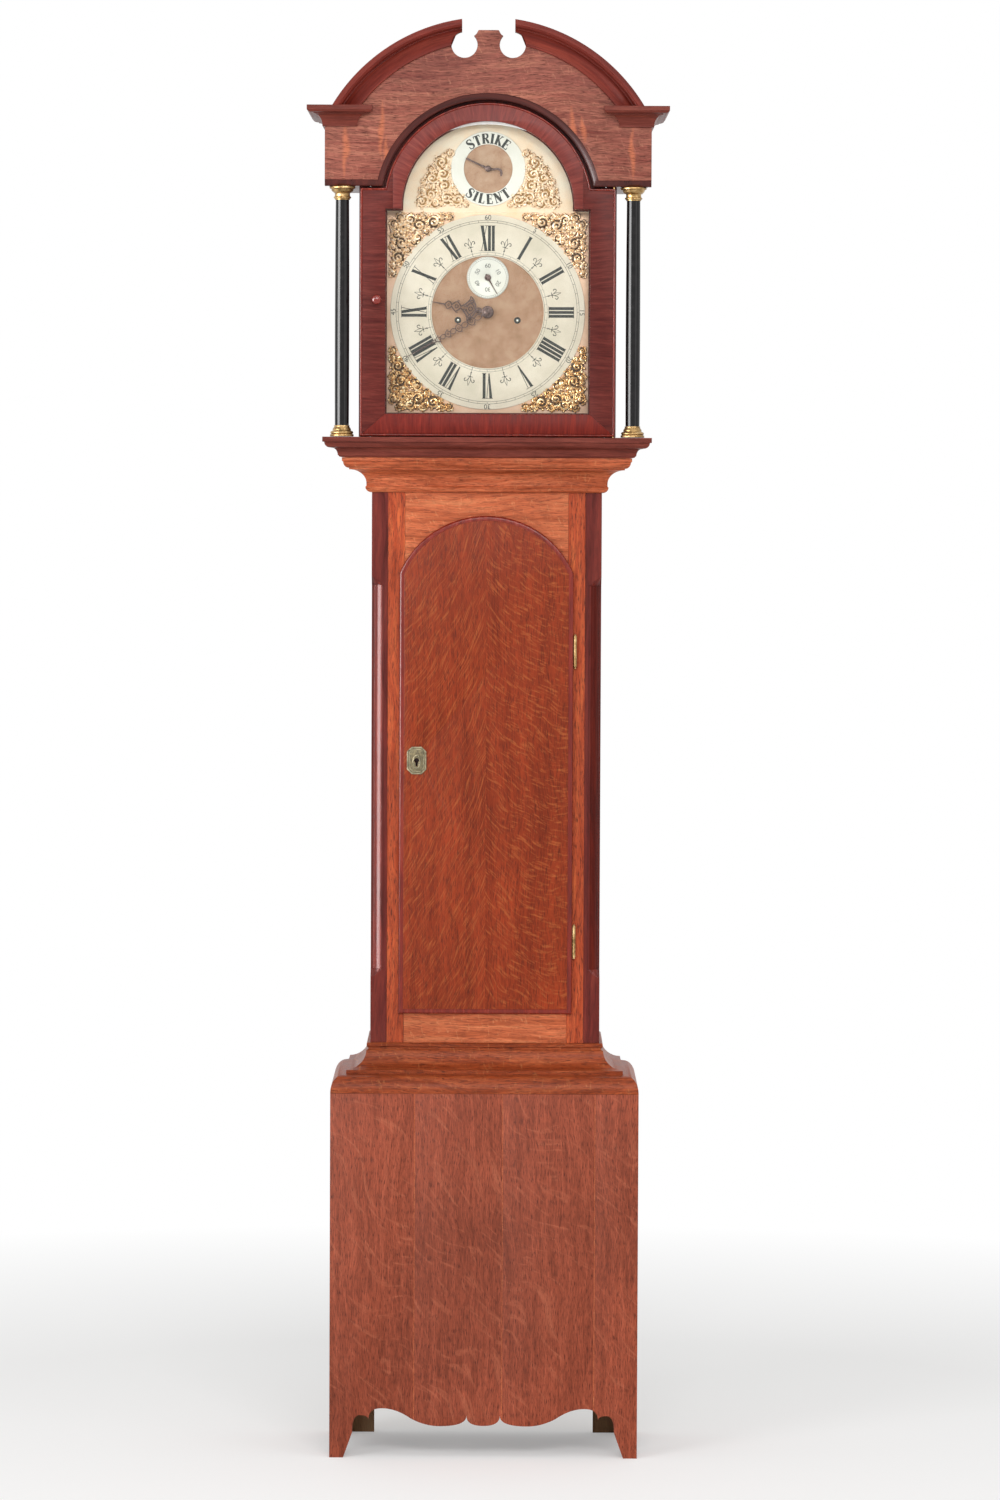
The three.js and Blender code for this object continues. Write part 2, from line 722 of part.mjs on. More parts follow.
function makeTrunkDoor() {
  const lipFrontY = trunkFrontY - lipProud;
  const lipBackY = trunkFrontY - seam;
  const rounded = new THREE.ExtrudeGeometry(doorOutline(lipRound), {
    depth: lipProud,
    bevelThickness: lipRound,
    bevelSize: lipRound,
    bevelSegments: 2,
    curveSegments: 18,
  }).rotateX(Math.PI / 2).translate(0, lipFrontY + lipRound + lipProud, 0);
  const trim = [lipBackY, lipBackY + 2 * lipProud + 2 * lipRound];
  const lip = cut(rounded, board([-doorWidth, doorWidth], trim, [0, hoodSeatZ]));
  const bodyBackY = trunkFrontY + doorBodyDepth;
  const body = frontPrism(doorOutline(lipOverlap + doorLiningGap), lipBackY - lipProud / 2, bodyBackY, 18);
  const throughKeyhole = keyhole(lipFrontY - overrun, bodyBackY + overrun);
  const door = cut(join(lip, body), ...lipPockets(), ...throughKeyhole);
  addPiece(clock, 'trunk_door', door, doorOak);

  const plateBackY = lipFrontY - seam;
  const plateFrontY = plateBackY - escutcheonThickness;
  const [w, h] = [escutcheonWidth / 2, escutcheonHeight / 2];
  const cant = escutcheonWidth / 4;
  const corners = [
    [w, h - cant], [w - cant, h], [cant - w, h], [-w, h - cant],
    [-w, cant - h], [cant - w, -h], [w - cant, -h], [w, cant - h],
  ];
  const plate = frontPrism(shapeOf(corners), plateFrontY, plateBackY).translate(escutcheonX, 0, escutcheonZ);
  const pierced = cut(plate, ...keyhole(plateFrontY - overrun, plateBackY + overrun));
  addPiece(clock, 'trunk_door_escutcheon', pierced, agedBrass);

  const lockLeftX = -doorWidth / 2 + lipOverlap + doorLiningGap + seam;
  const lockSpanY = [bodyBackY + seam, bodyBackY + seam + lockDepth];
  const lockSpanZ = [escutcheonZ - lockHeight / 2, escutcheonZ + lockHeight / 2];
  const lockCase = board([lockLeftX, lockLeftX + lockWidth], lockSpanY, lockSpanZ);
  const lockKeyhole = keyhole(lockSpanY[0] - overrun, lockSpanY[0] + lockDepth / 2);
  addPiece(clock, 'trunk_door_lock', cut(lockCase, ...lockKeyhole), steel);

  [['upper', upperHingeZ], ['lower', lowerHingeZ]].forEach(([level, z]) => {
    const hinge = placedGroup(hingeAxisX, hingeAxisY, z);
    const half = hingeLength / 2;
    const third = hingeLength / 6;
    const finial = (sign) => turnedUp([
      [0, sign * half],
      [knuckleRadius, sign * half],
      [knuckleRadius * 0.6, sign * (half + hingeFinial * 0.3)],
      [knuckleRadius * 0.8, sign * (half + hingeFinial * 0.6)],
      [0, sign * (half + hingeFinial)],
    ], 12);
    const leafFaceY = trunkFrontY - hingeAxisY;
    const stileLeaf = board(
      [knuckleRadius + seam - leafWidth, 0],
      [leafFaceY, leafFaceY + leafThickness],
      [-half, half],
    );
    const webDepth = [0, leafFaceY + leafThickness];
    const stileWeb = (foot, head) => board([-hingePinRadius, hingePinRadius], webDepth, [foot, head]);
    const stileHalf = join(
      rodUp(knuckleRadius, third, half + hingeFinial * 0.1, 12),
      rodUp(knuckleRadius, -half - hingeFinial * 0.1, -third, 12),
      rodUp(hingePinRadius, -half, half, 12),
      finial(1), finial(-1), stileLeaf, stileWeb(third, half), stileWeb(-half, -third),
    );
    addPiece(hinge, `trunk_hinge_${level}`, stileHalf, brass);
    const lipLeafY = lipBackY - hingeAxisY - leafThickness;
    const doorLeaf = board(
      [-leafWidth - knuckleRadius, 0],
      [lipLeafY, lipLeafY + leafThickness],
      [seam - third, third - seam],
    );
    const knuckle = rodUp(knuckleRadius, seam - third, third - seam, 12);
    const bore = rodUp(hingePinRadius + seam, -third, third, 12);
    addPiece(hinge, `trunk_hinge_leaf_${level}`, cut(join(knuckle, doorLeaf), bore), brass);
  });
}

// Hood: base moulding, sides with soffits, frieze, cornice, roof, mask and columns
const corniceSteps = [
  ['flat', 0.135, 0.02],
  ['flat', 0.135, 0.06],
  ['hollow', 0.63, 0.6],
  ['flat', 0.63, 0.64],
  ['round', 0.96, 0.76],
  ['flat', 1, 0.78],
  ['flat', 1, 1],
];

function corniceSection(height) {
  const section = mouldingSection(0.1, corniceSteps, corniceProjection, height);
  return closedSection(section, seam);
}

// The hollow cut along the foot of the frieze and round its arch.
function edgeHollow() {
  const points = [[-overrun, -overrun], [friezeEdgeWidth, -overrun], [friezeEdgeWidth, 0]];
  const steps = 3;
  for (let i = 1; i <= steps; i += 1) {
    const turn = (i / steps) * (Math.PI / 2);
    points.push([friezeEdgeWidth * Math.cos(turn), friezeEdgeDepth * Math.sin(turn)]);
  }
  points.push([-overrun, friezeEdgeDepth]);
  return points;
}

function friezeFootCutters() {
  const front = edgeHollow().map(([up, back]) => [friezeFrontY + back, friezeFootZ + up]);
  const side = edgeHollow().map(([up, back]) => [friezeHalf - back, friezeFootZ + up]);
  const right = frontPrism(shapeOf(side), friezeFrontY - overrun, wallY + overrun);
  return [sidePrism(shapeOf(front), -friezeHalf - overrun, friezeHalf + overrun), right, mirrored(right)];
}

function makeHoodBody() {
  const baseSection = mouldingSection(0.6, [
    ['round', 0.67, 0.08],
    ['flat', 0.69, 0.1],
    ['hollow', 0.8, 0.45],
    ['flat', 0.84, 0.47],
    ['round', 0.96, 0.74],
    ['flat', 1, 0.76],
    ['flat', 1, 1],
  ], hoodBaseOverhang, hoodBaseHeight - seam);
  const closed = closedSection(baseSection, cheekClearance);
  const baseRun = threeSidedRun(closed, trunkHalf, trunkFrontY, hoodSeatZ + seam);
  const pivotHoleFootZ = hoodDoorFootZ - hoodPivotLength - seam;
  const pivotHole = rodUp(hoodPivotRadius + seam, pivotHoleFootZ, hoodFloorZ + overrun, 12);
  addPiece(clock, 'hood_base_moulding', cut(baseRun, pivotHole.translate(pivotX, pivotY, 0)), mahogany);

  const innerX = hoodHalfWidth - hoodSideThickness;
  const sideFrontY = friezeBackY + seam;
  const wallFrontY = hoodDoorBackY + seam;
  const soffitTopZ = friezeFootZ + soffitThickness;
  const wall = board([innerX, hoodHalfWidth], [wallFrontY, wallY], [hoodFloorZ + seam, soffitTopZ]);
  const soffit = board([innerX, friezeHalf], [sideFrontY, wallY], [friezeFootZ, soffitTopZ]);
  const friezeSide = board(
    [friezeHalf - hoodSideThickness, friezeHalf],
    [sideFrontY, wallY],
    [friezeFootZ, corniceTopZ - roofThickness - seam],
  );
  const notchDepth = [sideFrontY - overrun, wallFrontY];
  const doorNotch = board([0, hoodHalfWidth], notchDepth, [hoodFloorZ, soffitTopZ + overrun]);
  const [, rightFootCutter] = friezeFootCutters();
  const rightSide = cut(join(wall, soffit, friezeSide), doorNotch, rightFootCutter);
  addPiece(clock, 'hood_side_right', rightSide, mahogany);
  addPiece(clock, 'hood_side_left', mirrored(rightSide), mahogany);

  addPiece(clock, 'hood_roof', frontPrism(roofShape(), friezeBackY + seam, wallY, 16), backPine);

  const maskHalf = innerX - seam;
  const maskTopRadius = roofRadius - 4 * roofThickness;
  const maskOutline = breakArch(maskHalf, hoodFloorZ + seam, friezeFootZ, maskTopRadius, hoodArchCentreZ);
  const lapHalf = dialHalf - maskLap;
  const lapRadius = dialArchRadius - maskLap;
  const lapSpanZ = [dialCentreZ - lapHalf, dialCentreZ + lapHalf];
  const aperture = breakArch(lapHalf, ...lapSpanZ, lapRadius, hoodArchCentreZ);
  maskOutline.holes.push(aperture);
  addPiece(clock, 'dial_mask', frontPrism(maskOutline, maskFrontY, maskFrontY + maskThickness, 16), mahogany);
}

function roofShape() {
  const rise = corniceTopZ - pedimentCentreZ;
  const outerAngle = Math.asin(rise / roofRadius);
  const innerRadius = roofRadius - roofThickness;
  const innerAngle = Math.asin((rise - roofThickness) / innerRadius);
  const shape = new THREE.Shape();
  shape.moveTo(friezeHalf, corniceTopZ - roofThickness);
  shape.lineTo(friezeHalf, corniceTopZ);
  shape.absarc(0, pedimentCentreZ, roofRadius, outerAngle, Math.PI - outerAngle, false);
  shape.lineTo(-friezeHalf, corniceTopZ);
  shape.lineTo(-friezeHalf, corniceTopZ - roofThickness);
  shape.absarc(0, pedimentCentreZ, innerRadius, Math.PI - innerAngle, innerAngle, true);
  shape.closePath();
  return shape;
}

function makeFrieze() {
  const boardRadius = pedimentRadius - 3 * seam;
  const shape = breakArch(friezeHalf, friezeFootZ, corniceTopZ, boardRadius, pedimentCentreZ);
  const front = frontPrism(shape, friezeFrontY, friezeBackY, 24);
  const doorArch = rodForward(friezeArchRadius, friezeFrontY - overrun, friezeBackY + overrun, 48);
  const archEdge = turnedForward([
    [friezeArchRadius - overrun, friezeFrontY - overrun],
    ...edgeHollow().slice(1).map(([out, back]) => [friezeArchRadius + out, friezeFrontY + back]),
    [friezeArchRadius - overrun, friezeFrontY - overrun],
  ], 48);
  const gapZ = scrollHoleZ + plinthShoulderRise;
  const gapTopZ = pedimentCentreZ + pedimentRadius + overrun;
  const cutDepth = [friezeFrontY - overrun, friezeBackY + overrun];
  const topGap = board([-pedimentSplit, pedimentSplit], cutDepth, [gapZ, gapTopZ]);
  const holes = [-1, 1].map((side) =>
    rodForward(scrollHoleRadius, ...cutDepth, 24).translate(side * scrollHoleX, 0, scrollHoleZ));
  const arches = [doorArch, archEdge].map((g) => g.translate(0, 0, hoodArchCentreZ));
  const pivotHoleTopZ = hoodDoorHeadZ + hoodPivotLength + seam;
  const pivotHole = rodUp(hoodPivotRadius + seam, friezeFootZ - overrun, pivotHoleTopZ, 12)
    .translate(pivotX, pivotY, 0);
  const pierced = cut(front, ...arches, topGap, ...holes, ...friezeFootCutters(), pivotHole);
  const plinth = plinthHalfWidth;
  const shoulder = scrollHoleX - Math.sqrt(scrollHoleRadius ** 2 - plinthShoulderRise ** 2);
  const cap = frontPrism(shapeOf([
    [-plinth, gapZ - plinthCap],
    [plinth, gapZ - plinthCap],
    [shoulder, gapZ],
    [(plinth + shoulder) / 2, gapZ + plinthCap * 0.3],
    [plinth, gapZ + plinthCap],
    [-plinth, gapZ + plinthCap],
    [-(plinth + shoulder) / 2, gapZ + plinthCap * 0.3],
    [-shoulder, gapZ],
  ]), friezeFrontY, friezeBackY);
  addPiece(clock, 'hood_frieze_board', join(pierced, cap), redOak);
}

function makeCornice() {
  const section = corniceSection(corniceHeight);
  const innerX = -friezeHalf + corniceBlockWidth;
  const block = mitredRun(section, [
    (out, up) => new THREE.Vector3(-friezeHalf - out, wallY, corniceFootZ + up),
    (out, up) => new THREE.Vector3(-friezeHalf - out, friezeFrontY - out, corniceFootZ + up),
    (out, up) => new THREE.Vector3(innerX + out, friezeFrontY - out, corniceFootZ + up),
    (out, up) => new THREE.Vector3(innerX + out, friezeFrontY - seam, corniceFootZ + up),
  ]);
  const bandSection = corniceSection(pedimentBand);
  const bandFoot = pedimentRadius - pedimentBand;
  const ring = turnedForward(
    [...bandSection, bandSection[0]].map(([out, up]) => [bandFoot + up, friezeFrontY - out]), 72,
  ).translate(0, 0, pedimentCentreZ);
  const reach = corniceProjection + overrun;
  const archWindow = board(
    [-pedimentRadius, -pedimentSplit],
    [friezeFrontY - reach, friezeFrontY],
    [corniceTopZ - seam, pedimentCentreZ + pedimentRadius + overrun],
  );
  const hole = rodForward(scrollHoleRadius, friezeFrontY - reach, friezeFrontY, 24);
  const arch = cut(common(ring, archWindow), hole.translate(-scrollHoleX, 0, scrollHoleZ));
  const left = join(block, arch);
  addPiece(clock, 'hood_cornice_left', left, mahogany);
  addPiece(clock, 'hood_cornice_right', mirrored(left), mahogany);
}

function makeColumns() {
  const shaftFootZ = columnBaseHeight + seam;
  const shaftHeadZ = orderHeight - capitalHeight - 2 * seam;
  [['left', -1], ['right', 1]].forEach(([hand, side]) => {
    const column = placedGroup(side * columnX, friezeFrontY + columnSetback, hoodFloorZ + seam);
    const r = columnBaseRadius;
    const h = columnBaseHeight;
    const base = turnedUp([
      [0, 0], [r, 0], [r, h * 0.2], [r * 0.9, h * 0.24], [r * 0.97, h * 0.36], [r * 0.9, h * 0.48],
      [r * 0.76, h * 0.56], [r * 0.78, h * 0.66], [r * 0.72, h * 0.78], [r * 0.63, h * 0.88],
      [r * 0.61, h], [0, h],
    ], 16);
    addPiece(column, `column_base_${hand}`, base, brass);
    const rings = 3;
    const shaftLength = shaftHeadZ - shaftFootZ;
    const shaft = [[0, shaftFootZ]];
    for (let i = 0; i <= rings; i += 1) {
      const share = i / rings;
      shaft.push([columnRadius + columnSwell * Math.sin(Math.PI * share), shaftFootZ + shaftLength * share]);
    }
    shaft.push([0, shaftHeadZ]);
    addPiece(column, `column_${hand}`, turnedUp(shaft), ebonised);
    const capitalFootZ = shaftHeadZ + seam;
    const head = orderHeight - 2 * seam - capitalFootZ;
    const c = capitalRadius;
    const neck = columnRadius + 2 * seam;
    const capital = turnedUp([
      [0, 0], [neck, 0], [neck, head * 0.1], [c * 0.68, head * 0.16], [c * 0.68, head * 0.24],
      [neck, head * 0.3], [neck, head * 0.48], [c * 0.66, head * 0.52], [c * 0.84, head * 0.66],
      [c * 0.88, head * 0.8], [c, head * 0.85], [c, head], [0, head],
    ].map(([radius, up]) => [radius, capitalFootZ + up]), 16);
    addPiece(column, `capital_${hand}`, capital, brass);
  });
}

// Hood door
function apertureOutline(grow) {
  const radius = hoodDoorArchRadius - hoodDoorArchRail + grow;
  const half = apertureHalf + grow;
  return breakArch(half, dialCentreZ - half, apertureTopZ + grow, radius, hoodArchCentreZ);
}

function makeHoodDoor() {
  const doorSpanZ = [hoodDoorFootZ, hoodDoorHeadZ];
  const outer = breakArch(hoodDoorHalfWidth, ...doorSpanZ, hoodDoorArchRadius, hoodArchCentreZ);
  outer.holes.push(apertureOutline(0));
  const frame = frontPrism(outer, hoodDoorFrontY, hoodDoorBackY, 18);
  const glassFrontY = hoodDoorFrontY + glassSetback;
  const rebate = frontPrism(apertureOutline(glassRebate), glassFrontY - seam, hoodDoorBackY + overrun, 18);
  const pivotFoot = rodUp(hoodPivotRadius, hoodDoorFootZ - hoodPivotLength, hoodDoorFootZ + overrun, 12);
  const pivotHead = rodUp(hoodPivotRadius, hoodDoorHeadZ - overrun, hoodDoorHeadZ + hoodPivotLength, 12);
  const pivots = [pivotFoot, pivotHead].map((g) => g.translate(pivotX, pivotY, 0));
  addPiece(clock, 'hood_door_frame', join(cut(frame, rebate), ...pivots), mahogany);
  const pane = frontPrism(apertureOutline(glassRebate - seam), glassFrontY, glassFrontY + glassThickness, 18);
  addPiece(clock, 'hood_door_glass', pane, windowGlass);

  const knobX = -hoodDoorHalfWidth + hoodStileWidth * 0.65;
  const knobGroup = placedGroup(knobX, hoodDoorFrontY - seam, dialCentreZ + hoodKnobRise);
  const r = hoodKnobRadius;
  const l = hoodKnobLength;
  const knob = turnedForward([
    [0, 0], [r * 0.75, 0], [r * 0.75, -l * 0.1], [r * 0.45, -l * 0.25], [r * 0.5, -l * 0.4],
    [r, -l * 0.6], [r, -l * 0.75], [r * 0.7, -l * 0.93], [0, -l],
  ], 20);
  addPiece(knobGroup, 'hood_door_knob', knob, mahogany);
}

// Dial with its rings. Its group stands at the dial centre, on the front face of the plate.
const dial = placedGroup(0, dialFrontY, dialCentreZ);
const archCentreRise = hoodArchCentreZ - dialCentreZ;

function makeDial() {
  const shape = breakArch(dialHalf, -dialHalf, dialHalf, dialArchRadius, archCentreRise);
  const plate = frontPrism(shape, 0, dialThickness, 18);
  const hole = (radius, x, z) => rodForward(radius, -overrun, dialThickness + overrun, 12).translate(x, 0, z);
  const holes = [
    hole(centreHoleRadius, 0, 0),
    hole(windingHoleRadius, -windingX, -windingDrop),
    hole(windingHoleRadius, windingX, -windingDrop),
    hole(smallHoleRadius, 0, secondsDialRise),
    hole(smallHoleRadius, 0, strikeRingRise),
  ];
  const footX = plateWidth / 2 - 2 * pillarRadius;
  const footZ = plateHeight / 3;
  const footSpanY = [dialThickness / 2, dialThickness + dialFeetLength - seam];
  const feet = [[-footX, -footZ], [footX, -footZ], [-footX, footZ], [footX, footZ]].map(([x, z]) =>
    rodForward(pillarRadius / 2, ...footSpanY, 12).translate(x, 0, z));
  addPiece(dial, 'dial_plate', join(cut(plate, ...holes), ...feet), dialBrass);

  const ringBack = -seam;
  const ringFront = ringBack - ringThickness;
  addPiece(dial, 'chapter_ring', ringForward(chapterInner, chapterOuter, ringFront, ringBack, 56), silvered);
  const secondsDial = ringForward(smallHoleRadius, secondsDialRadius, ringFront, ringBack, 32);
  addPiece(dial, 'seconds_dial', secondsDial, silvered).position.z = secondsDialRise;
  const strikeRing = ringForward(strikeRingInner, strikeRingOuter, ringFront, ringBack, 40);
  addPiece(dial, 'strike_silent_ring', strikeRing, silvered).position.z = strikeRingRise;
}

// Hands. An outline is [along, half width] as shares of the hand's length, mirrored about its line.
const hourOutlineShares = [
  [0.08, 0.05], [0.17, 0.05], [0.22, 0.12], [0.29, 0.13], [0.34, 0.215], [0.39, 0.19], [0.42, 0.11],
  [0.5, 0.135], [0.56, 0.09], [0.62, 0.05], [0.69, 0.062], [0.74, 0.03], [0.8, 0.016], [0.97, 0.012],
];
const hourHoleShares = [
  [0.31, 0, 0.045], [0.345, 0.13, 0.04], [0.345, -0.13, 0.04], [0.48, 0, 0.05], [0.61, 0, 0.022],
];
const minuteOutlineShares = [
  [0.05, 0.026], [0.11, 0.022], [0.15, 0.045], [0.2, 0.05], [0.26, 0.035], [0.31, 0.048], [0.37, 0.03],
  [0.43, 0.045], [0.49, 0.026], [0.55, 0.036], [0.61, 0.018], [0.66, 0.024], [0.72, 0.011], [0.98, 0.006],
];
const minuteHoleShares = [[0.18, 0, 0.024], [0.31, 0, 0.022], [0.43, 0, 0.02], [0.55, 0, 0.015]];
const secondsOutlineShares = [[-0.2, 0.05], [0, 0.055], [0.5, 0.03], [0.97, 0.018]];
const pointerOutlineShares = [
  [-0.05, 0.05], [0.1, 0.055], [0.3, 0.045], [0.6, 0.04], [0.88, 0.045], [0.94, 0.02],
];
const pointerTailShares = [
  [0.02, -0.05, 0.05], [0.1, -0.19, 0.035], [0.17, -0.42, 0.04], [0.09, -0.54, 0.045],
  [-0.07, -0.57, 0.03],
];

function handBlade(length, outlineShares, holeShares, backY) {
  const side = outlineShares.map(([along, half]) => [half * length, along * length]);
  const other = side.map(([x, z]) => [-x, z]).reverse();
  const shape = shapeOf([...side, [0, length], ...other]);
  holeShares.forEach(([along, across, radius]) => {
    const hole = new THREE.Path();
    hole.absarc(across * length, along * length, radius * length, 0, 2 * Math.PI, false);
    shape.holes.push(hole);
  });
  return frontPrism(shape, backY - handThickness, backY, 4);
}

// A curled tail: [across, along, half width] down its middle, as shares of the hand's length.
function handTail(length, middleShares, backY) {
  const sides = middleShares.map(([across, along, half], i) => {
    const before = middleShares[Math.max(i - 1, 0)];
    const after = middleShares[Math.min(i + 1, middleShares.length - 1)];
    const run = new THREE.Vector2(after[0] - before[0], after[1] - before[1]).normalize();
    return [1, -1].map((hand) => [
      (across - hand * half * run.y) * length,
      (along + hand * half * run.x) * length,
    ]);
  });
  const outline = [...sides.map(([left]) => left), ...sides.map(([, right]) => right).reverse()];
  return frontPrism(shapeOf(outline), backY - handThickness, backY);
}

function makeHands() {
  const clockwise = (degrees) => THREE.MathUtils.degToRad(degrees);
  const ringFront = -seam - ringThickness;
  const pipeBore = centreArborRadius + seam;
  const pipeRadius = pipeBore + hourPipeWall;
  const hourBack = ringFront - hourHandStandoff;
  const pipeBackY = dialThickness + dialFeetLength - seam;
  const hourBlade = handBlade(hourHandLength, hourOutlineShares, hourHoleShares, hourBack);
  const hourBoss = rodForward(handBossRadius, hourBack - handThickness, hourBack);
  const hourPipe = rodForward(pipeRadius, hourBack - handThickness / 2, pipeBackY);
  const pipeHole = rodForward(pipeBore, hourBack - overrun, pipeBackY + overrun);
  const hourShape = cut(join(hourBlade, hourBoss, hourPipe), pipeHole);
  const hourHand = addPiece(dial, 'hour_hand', hourShape, bluedSteel);
  hourHand.rotation.y = clockwise(hourHandAngle);

  const minuteBack = ringFront - minuteHandStandoff;
  const minuteFront = minuteBack - handThickness;
  const arborBackY = backPlateY + plateThickness - dialFrontY;
  const minuteHand = addPiece(dial, 'minute_hand', join(
    handBlade(minuteHandLength, minuteOutlineShares, minuteHoleShares, minuteBack),
    rodForward(handBossRadius * 0.8, minuteFront - handThickness, minuteBack),
    rodForward(centreArborRadius, minuteFront - 2 * handThickness, arborBackY),
  ), bluedSteel);
  minuteHand.rotation.y = clockwise(minuteHandAngle);

  const secondsBack = ringFront - secondsHandStandoff / 2;
  const secondsThin = secondsHandStandoff / handThickness;
  const secondsBlade = handBlade(secondsHandLength, secondsOutlineShares, [], 0).scale(1, secondsThin, 1);
  const secondsBoss = rodForward(handBossRadius * 0.5, -secondsHandStandoff, 0);
  const secondsBore = rodForward(secondsArborRadius + seam, -overrun, overrun);
  const secondsShape = cut(join(secondsBlade, secondsBoss), secondsBore);
  const secondsHand = addPiece(dial, 'seconds_hand', secondsShape, bluedSteel);
  secondsHand.position.set(0, secondsBack, secondsDialRise);
  secondsHand.rotation.y = clockwise(secondsHandAngle);

  const pointerBack = ringFront - hourHandStandoff;
  const stemSpanY = [pointerBack - handThickness / 2, dialThickness + dialFeetLength / 4];
  const pointer = addPiece(dial, 'strike_silent_pointer', join(
    handBlade(pointerLength, pointerOutlineShares, [], pointerBack),
    handTail(pointerLength, pointerTailShares, pointerBack),
    rodForward(handBossRadius * 0.5, pointerBack - 2 * handThickness, pointerBack),
    rodForward(smallHoleRadius - 2 * seam, ...stemSpanY),
  ), bluedSteel);
  pointer.position.z = strikeRingRise;
  pointer.rotation.y = clockwise(pointerAngle);
}

// Movement: plates with pillars, barrels, escape wheel, bell
function makeMovement() {
  const plateHalf = plateWidth / 2;
  const plateSpanZ = [seatboardTopZ + seam, plateTopZ];
  const plateBoard = (frontY) =>
    board([-plateHalf, plateHalf], [frontY, frontY + plateThickness], plateSpanZ);
  const through = (radius, x, z) =>
    rodForward(radius, frontPlateY - overrun, backPlateY + plateThickness + overrun, 12).translate(x, 0, z);
  const arborHoles = [
    through(centreArborRadius + seam, 0, dialCentreZ),
    through(secondsArborRadius + seam, 0, dialCentreZ + secondsDialRise),
    through(barrelArborRadius + seam, -windingX, barrelZ),
    through(barrelArborRadius + seam, windingX, barrelZ),
    through(secondsArborRadius + seam, 0, pendulumAxisZ),
  ];
  addPiece(clock, 'movement_front_plate', cut(plateBoard(frontPlateY), ...arborHoles), brass);

  const pillarX = plateHalf - 2 * pillarRadius;
  const pillarZ = [plateSpanZ[0] + 2 * pillarRadius, plateSpanZ[1] - 2 * pillarRadius];
  const pillarFrontY = frontPlateY + plateThickness + seam;
  const pillars = [-pillarX, pillarX].flatMap((x) => pillarZ.map((z) =>
    rodForward(pillarRadius, pillarFrontY, backPlateY + plateThickness / 2, 10).translate(x, 0, z)));
  const plateBackY = backPlateY + plateThickness;
  const cockFootZ = pendulumAxisZ + rodWidth;
  const cock = board(
    [-cockWidth / 2, cockWidth / 2],
    [plateBackY - plateThickness / 2, pendulumY + rodWidth],
    [cockFootZ, cockFootZ + cockHeight],
  );
  const bellCrownZ = plateTopZ + bellAbovePlates + bellHeight;
  const bellY = (frontPlateY + plateBackY) / 2;
  const standHalf = bellStandWidth / 2;
  const standFootZ = plateTopZ - 2 * bellStandWidth;
  const standTopZ = bellCrownZ + seam + plateThickness;
  const standX = plateHalf - 3 * bellStandWidth;
  const standDepth = [backPlateY, plateBackY];
  const standHeadZ = [bellCrownZ + seam, standTopZ];
  const standPost = board([standX, standX + bellStandWidth], standDepth, [standFootZ, standTopZ]);
  const standBeam = board([-standHalf, standX + standHalf], standDepth, standHeadZ);
  const standArm = board([-standHalf, standHalf], [bellY - standHalf, plateBackY], standHeadZ);
  const backPlate = cut(join(plateBoard(backPlateY), ...pillars), ...arborHoles);
  addPiece(clock, 'movement_back_plate', join(backPlate, cock, standPost, standBeam, standArm), brass);

  const bell = placedGroup(0, bellY, bellCrownZ - bellHeight);
  const rings = 5;
  const dome = (radius, height) => Array.from({ length: rings + 1 }, (_, i) => {
    const turn = (i / rings) * (Math.PI / 2);
    return [radius * Math.cos(turn) ** 0.7, height * Math.sin(turn)];
  }).map(([r, z], i) => [i === rings ? 0 : r, z]);
  const outerDome = dome(bellRadius, bellHeight);
  const innerDome = dome(bellRadius - bellWall, bellHeight - bellWall).reverse();
  addPiece(bell, 'bell', turnedUp([...innerDome, ...outerDome], 24), bellMetal);

  const barrelFrontY = frontPlateY + barrelSetback;
  [['going', 1], ['strike', -1]].forEach(([train, side]) => {
    const barrel = placedGroup(side * windingX, barrelFrontY, barrelZ);
    const wheelY = -greatWheelThickness - barrelFlange;
    const squareFront = dialFrontY + dialThickness - barrelFrontY;
    const arborBack = backPlateY + plateThickness - barrelFrontY;
    const drum = turnedForward([
      [0, -barrelFlange], [barrelRadius + barrelFlange, -barrelFlange], [barrelRadius + barrelFlange, 0],
      [barrelRadius, 0], [barrelRadius, barrelLength], [barrelRadius + barrelFlange, barrelLength],
      [barrelRadius + barrelFlange, barrelLength + barrelFlange], [0, barrelLength + barrelFlange],
    ], 24);
    const wheel = rodForward(greatWheelRadius, wheelY, -barrelFlange / 2, 32);
    const arbor = rodForward(barrelArborRadius, frontPlateY - barrelFrontY - plateThickness, arborBack, 12);
    const squareHalf = barrelArborRadius * 0.65;
    const square = board([-squareHalf, squareHalf], [squareFront, 0], [-squareHalf, squareHalf]);
    addPiece(barrel, `barrel_${train}`, join(drum, wheel, arbor, square), brass);
  });

  const escapement = placedGroup(0, barrelFrontY, dialCentreZ + secondsDialRise);
  const tips = [];
  for (let i = 0; i < escapeTeeth; i += 1) {
    const step = (2 * Math.PI) / escapeTeeth;
    const root = escapeWheelRadius - escapeToothDepth;
    const tooth = [[root, i * step], [escapeWheelRadius, (i + 0.15) * step], [root, (i + 0.35) * step]];
    tooth.forEach(([r, turn]) => tips.push([r * Math.sin(turn), r * Math.cos(turn)]));
  }
  const wheelPlate = frontPrism(shapeOf(tips), 0, escapeWheelThickness);
  const arborFrontY = dialFrontY - 2 * ringThickness - barrelFrontY;
  const arborBackY = backPlateY + plateThickness - barrelFrontY;
  const escapeArbor = rodForward(secondsArborRadius, arborFrontY, arborBackY, 12);
  addPiece(escapement, 'escape_wheel', join(wheelPlate, escapeArbor), brass);
}

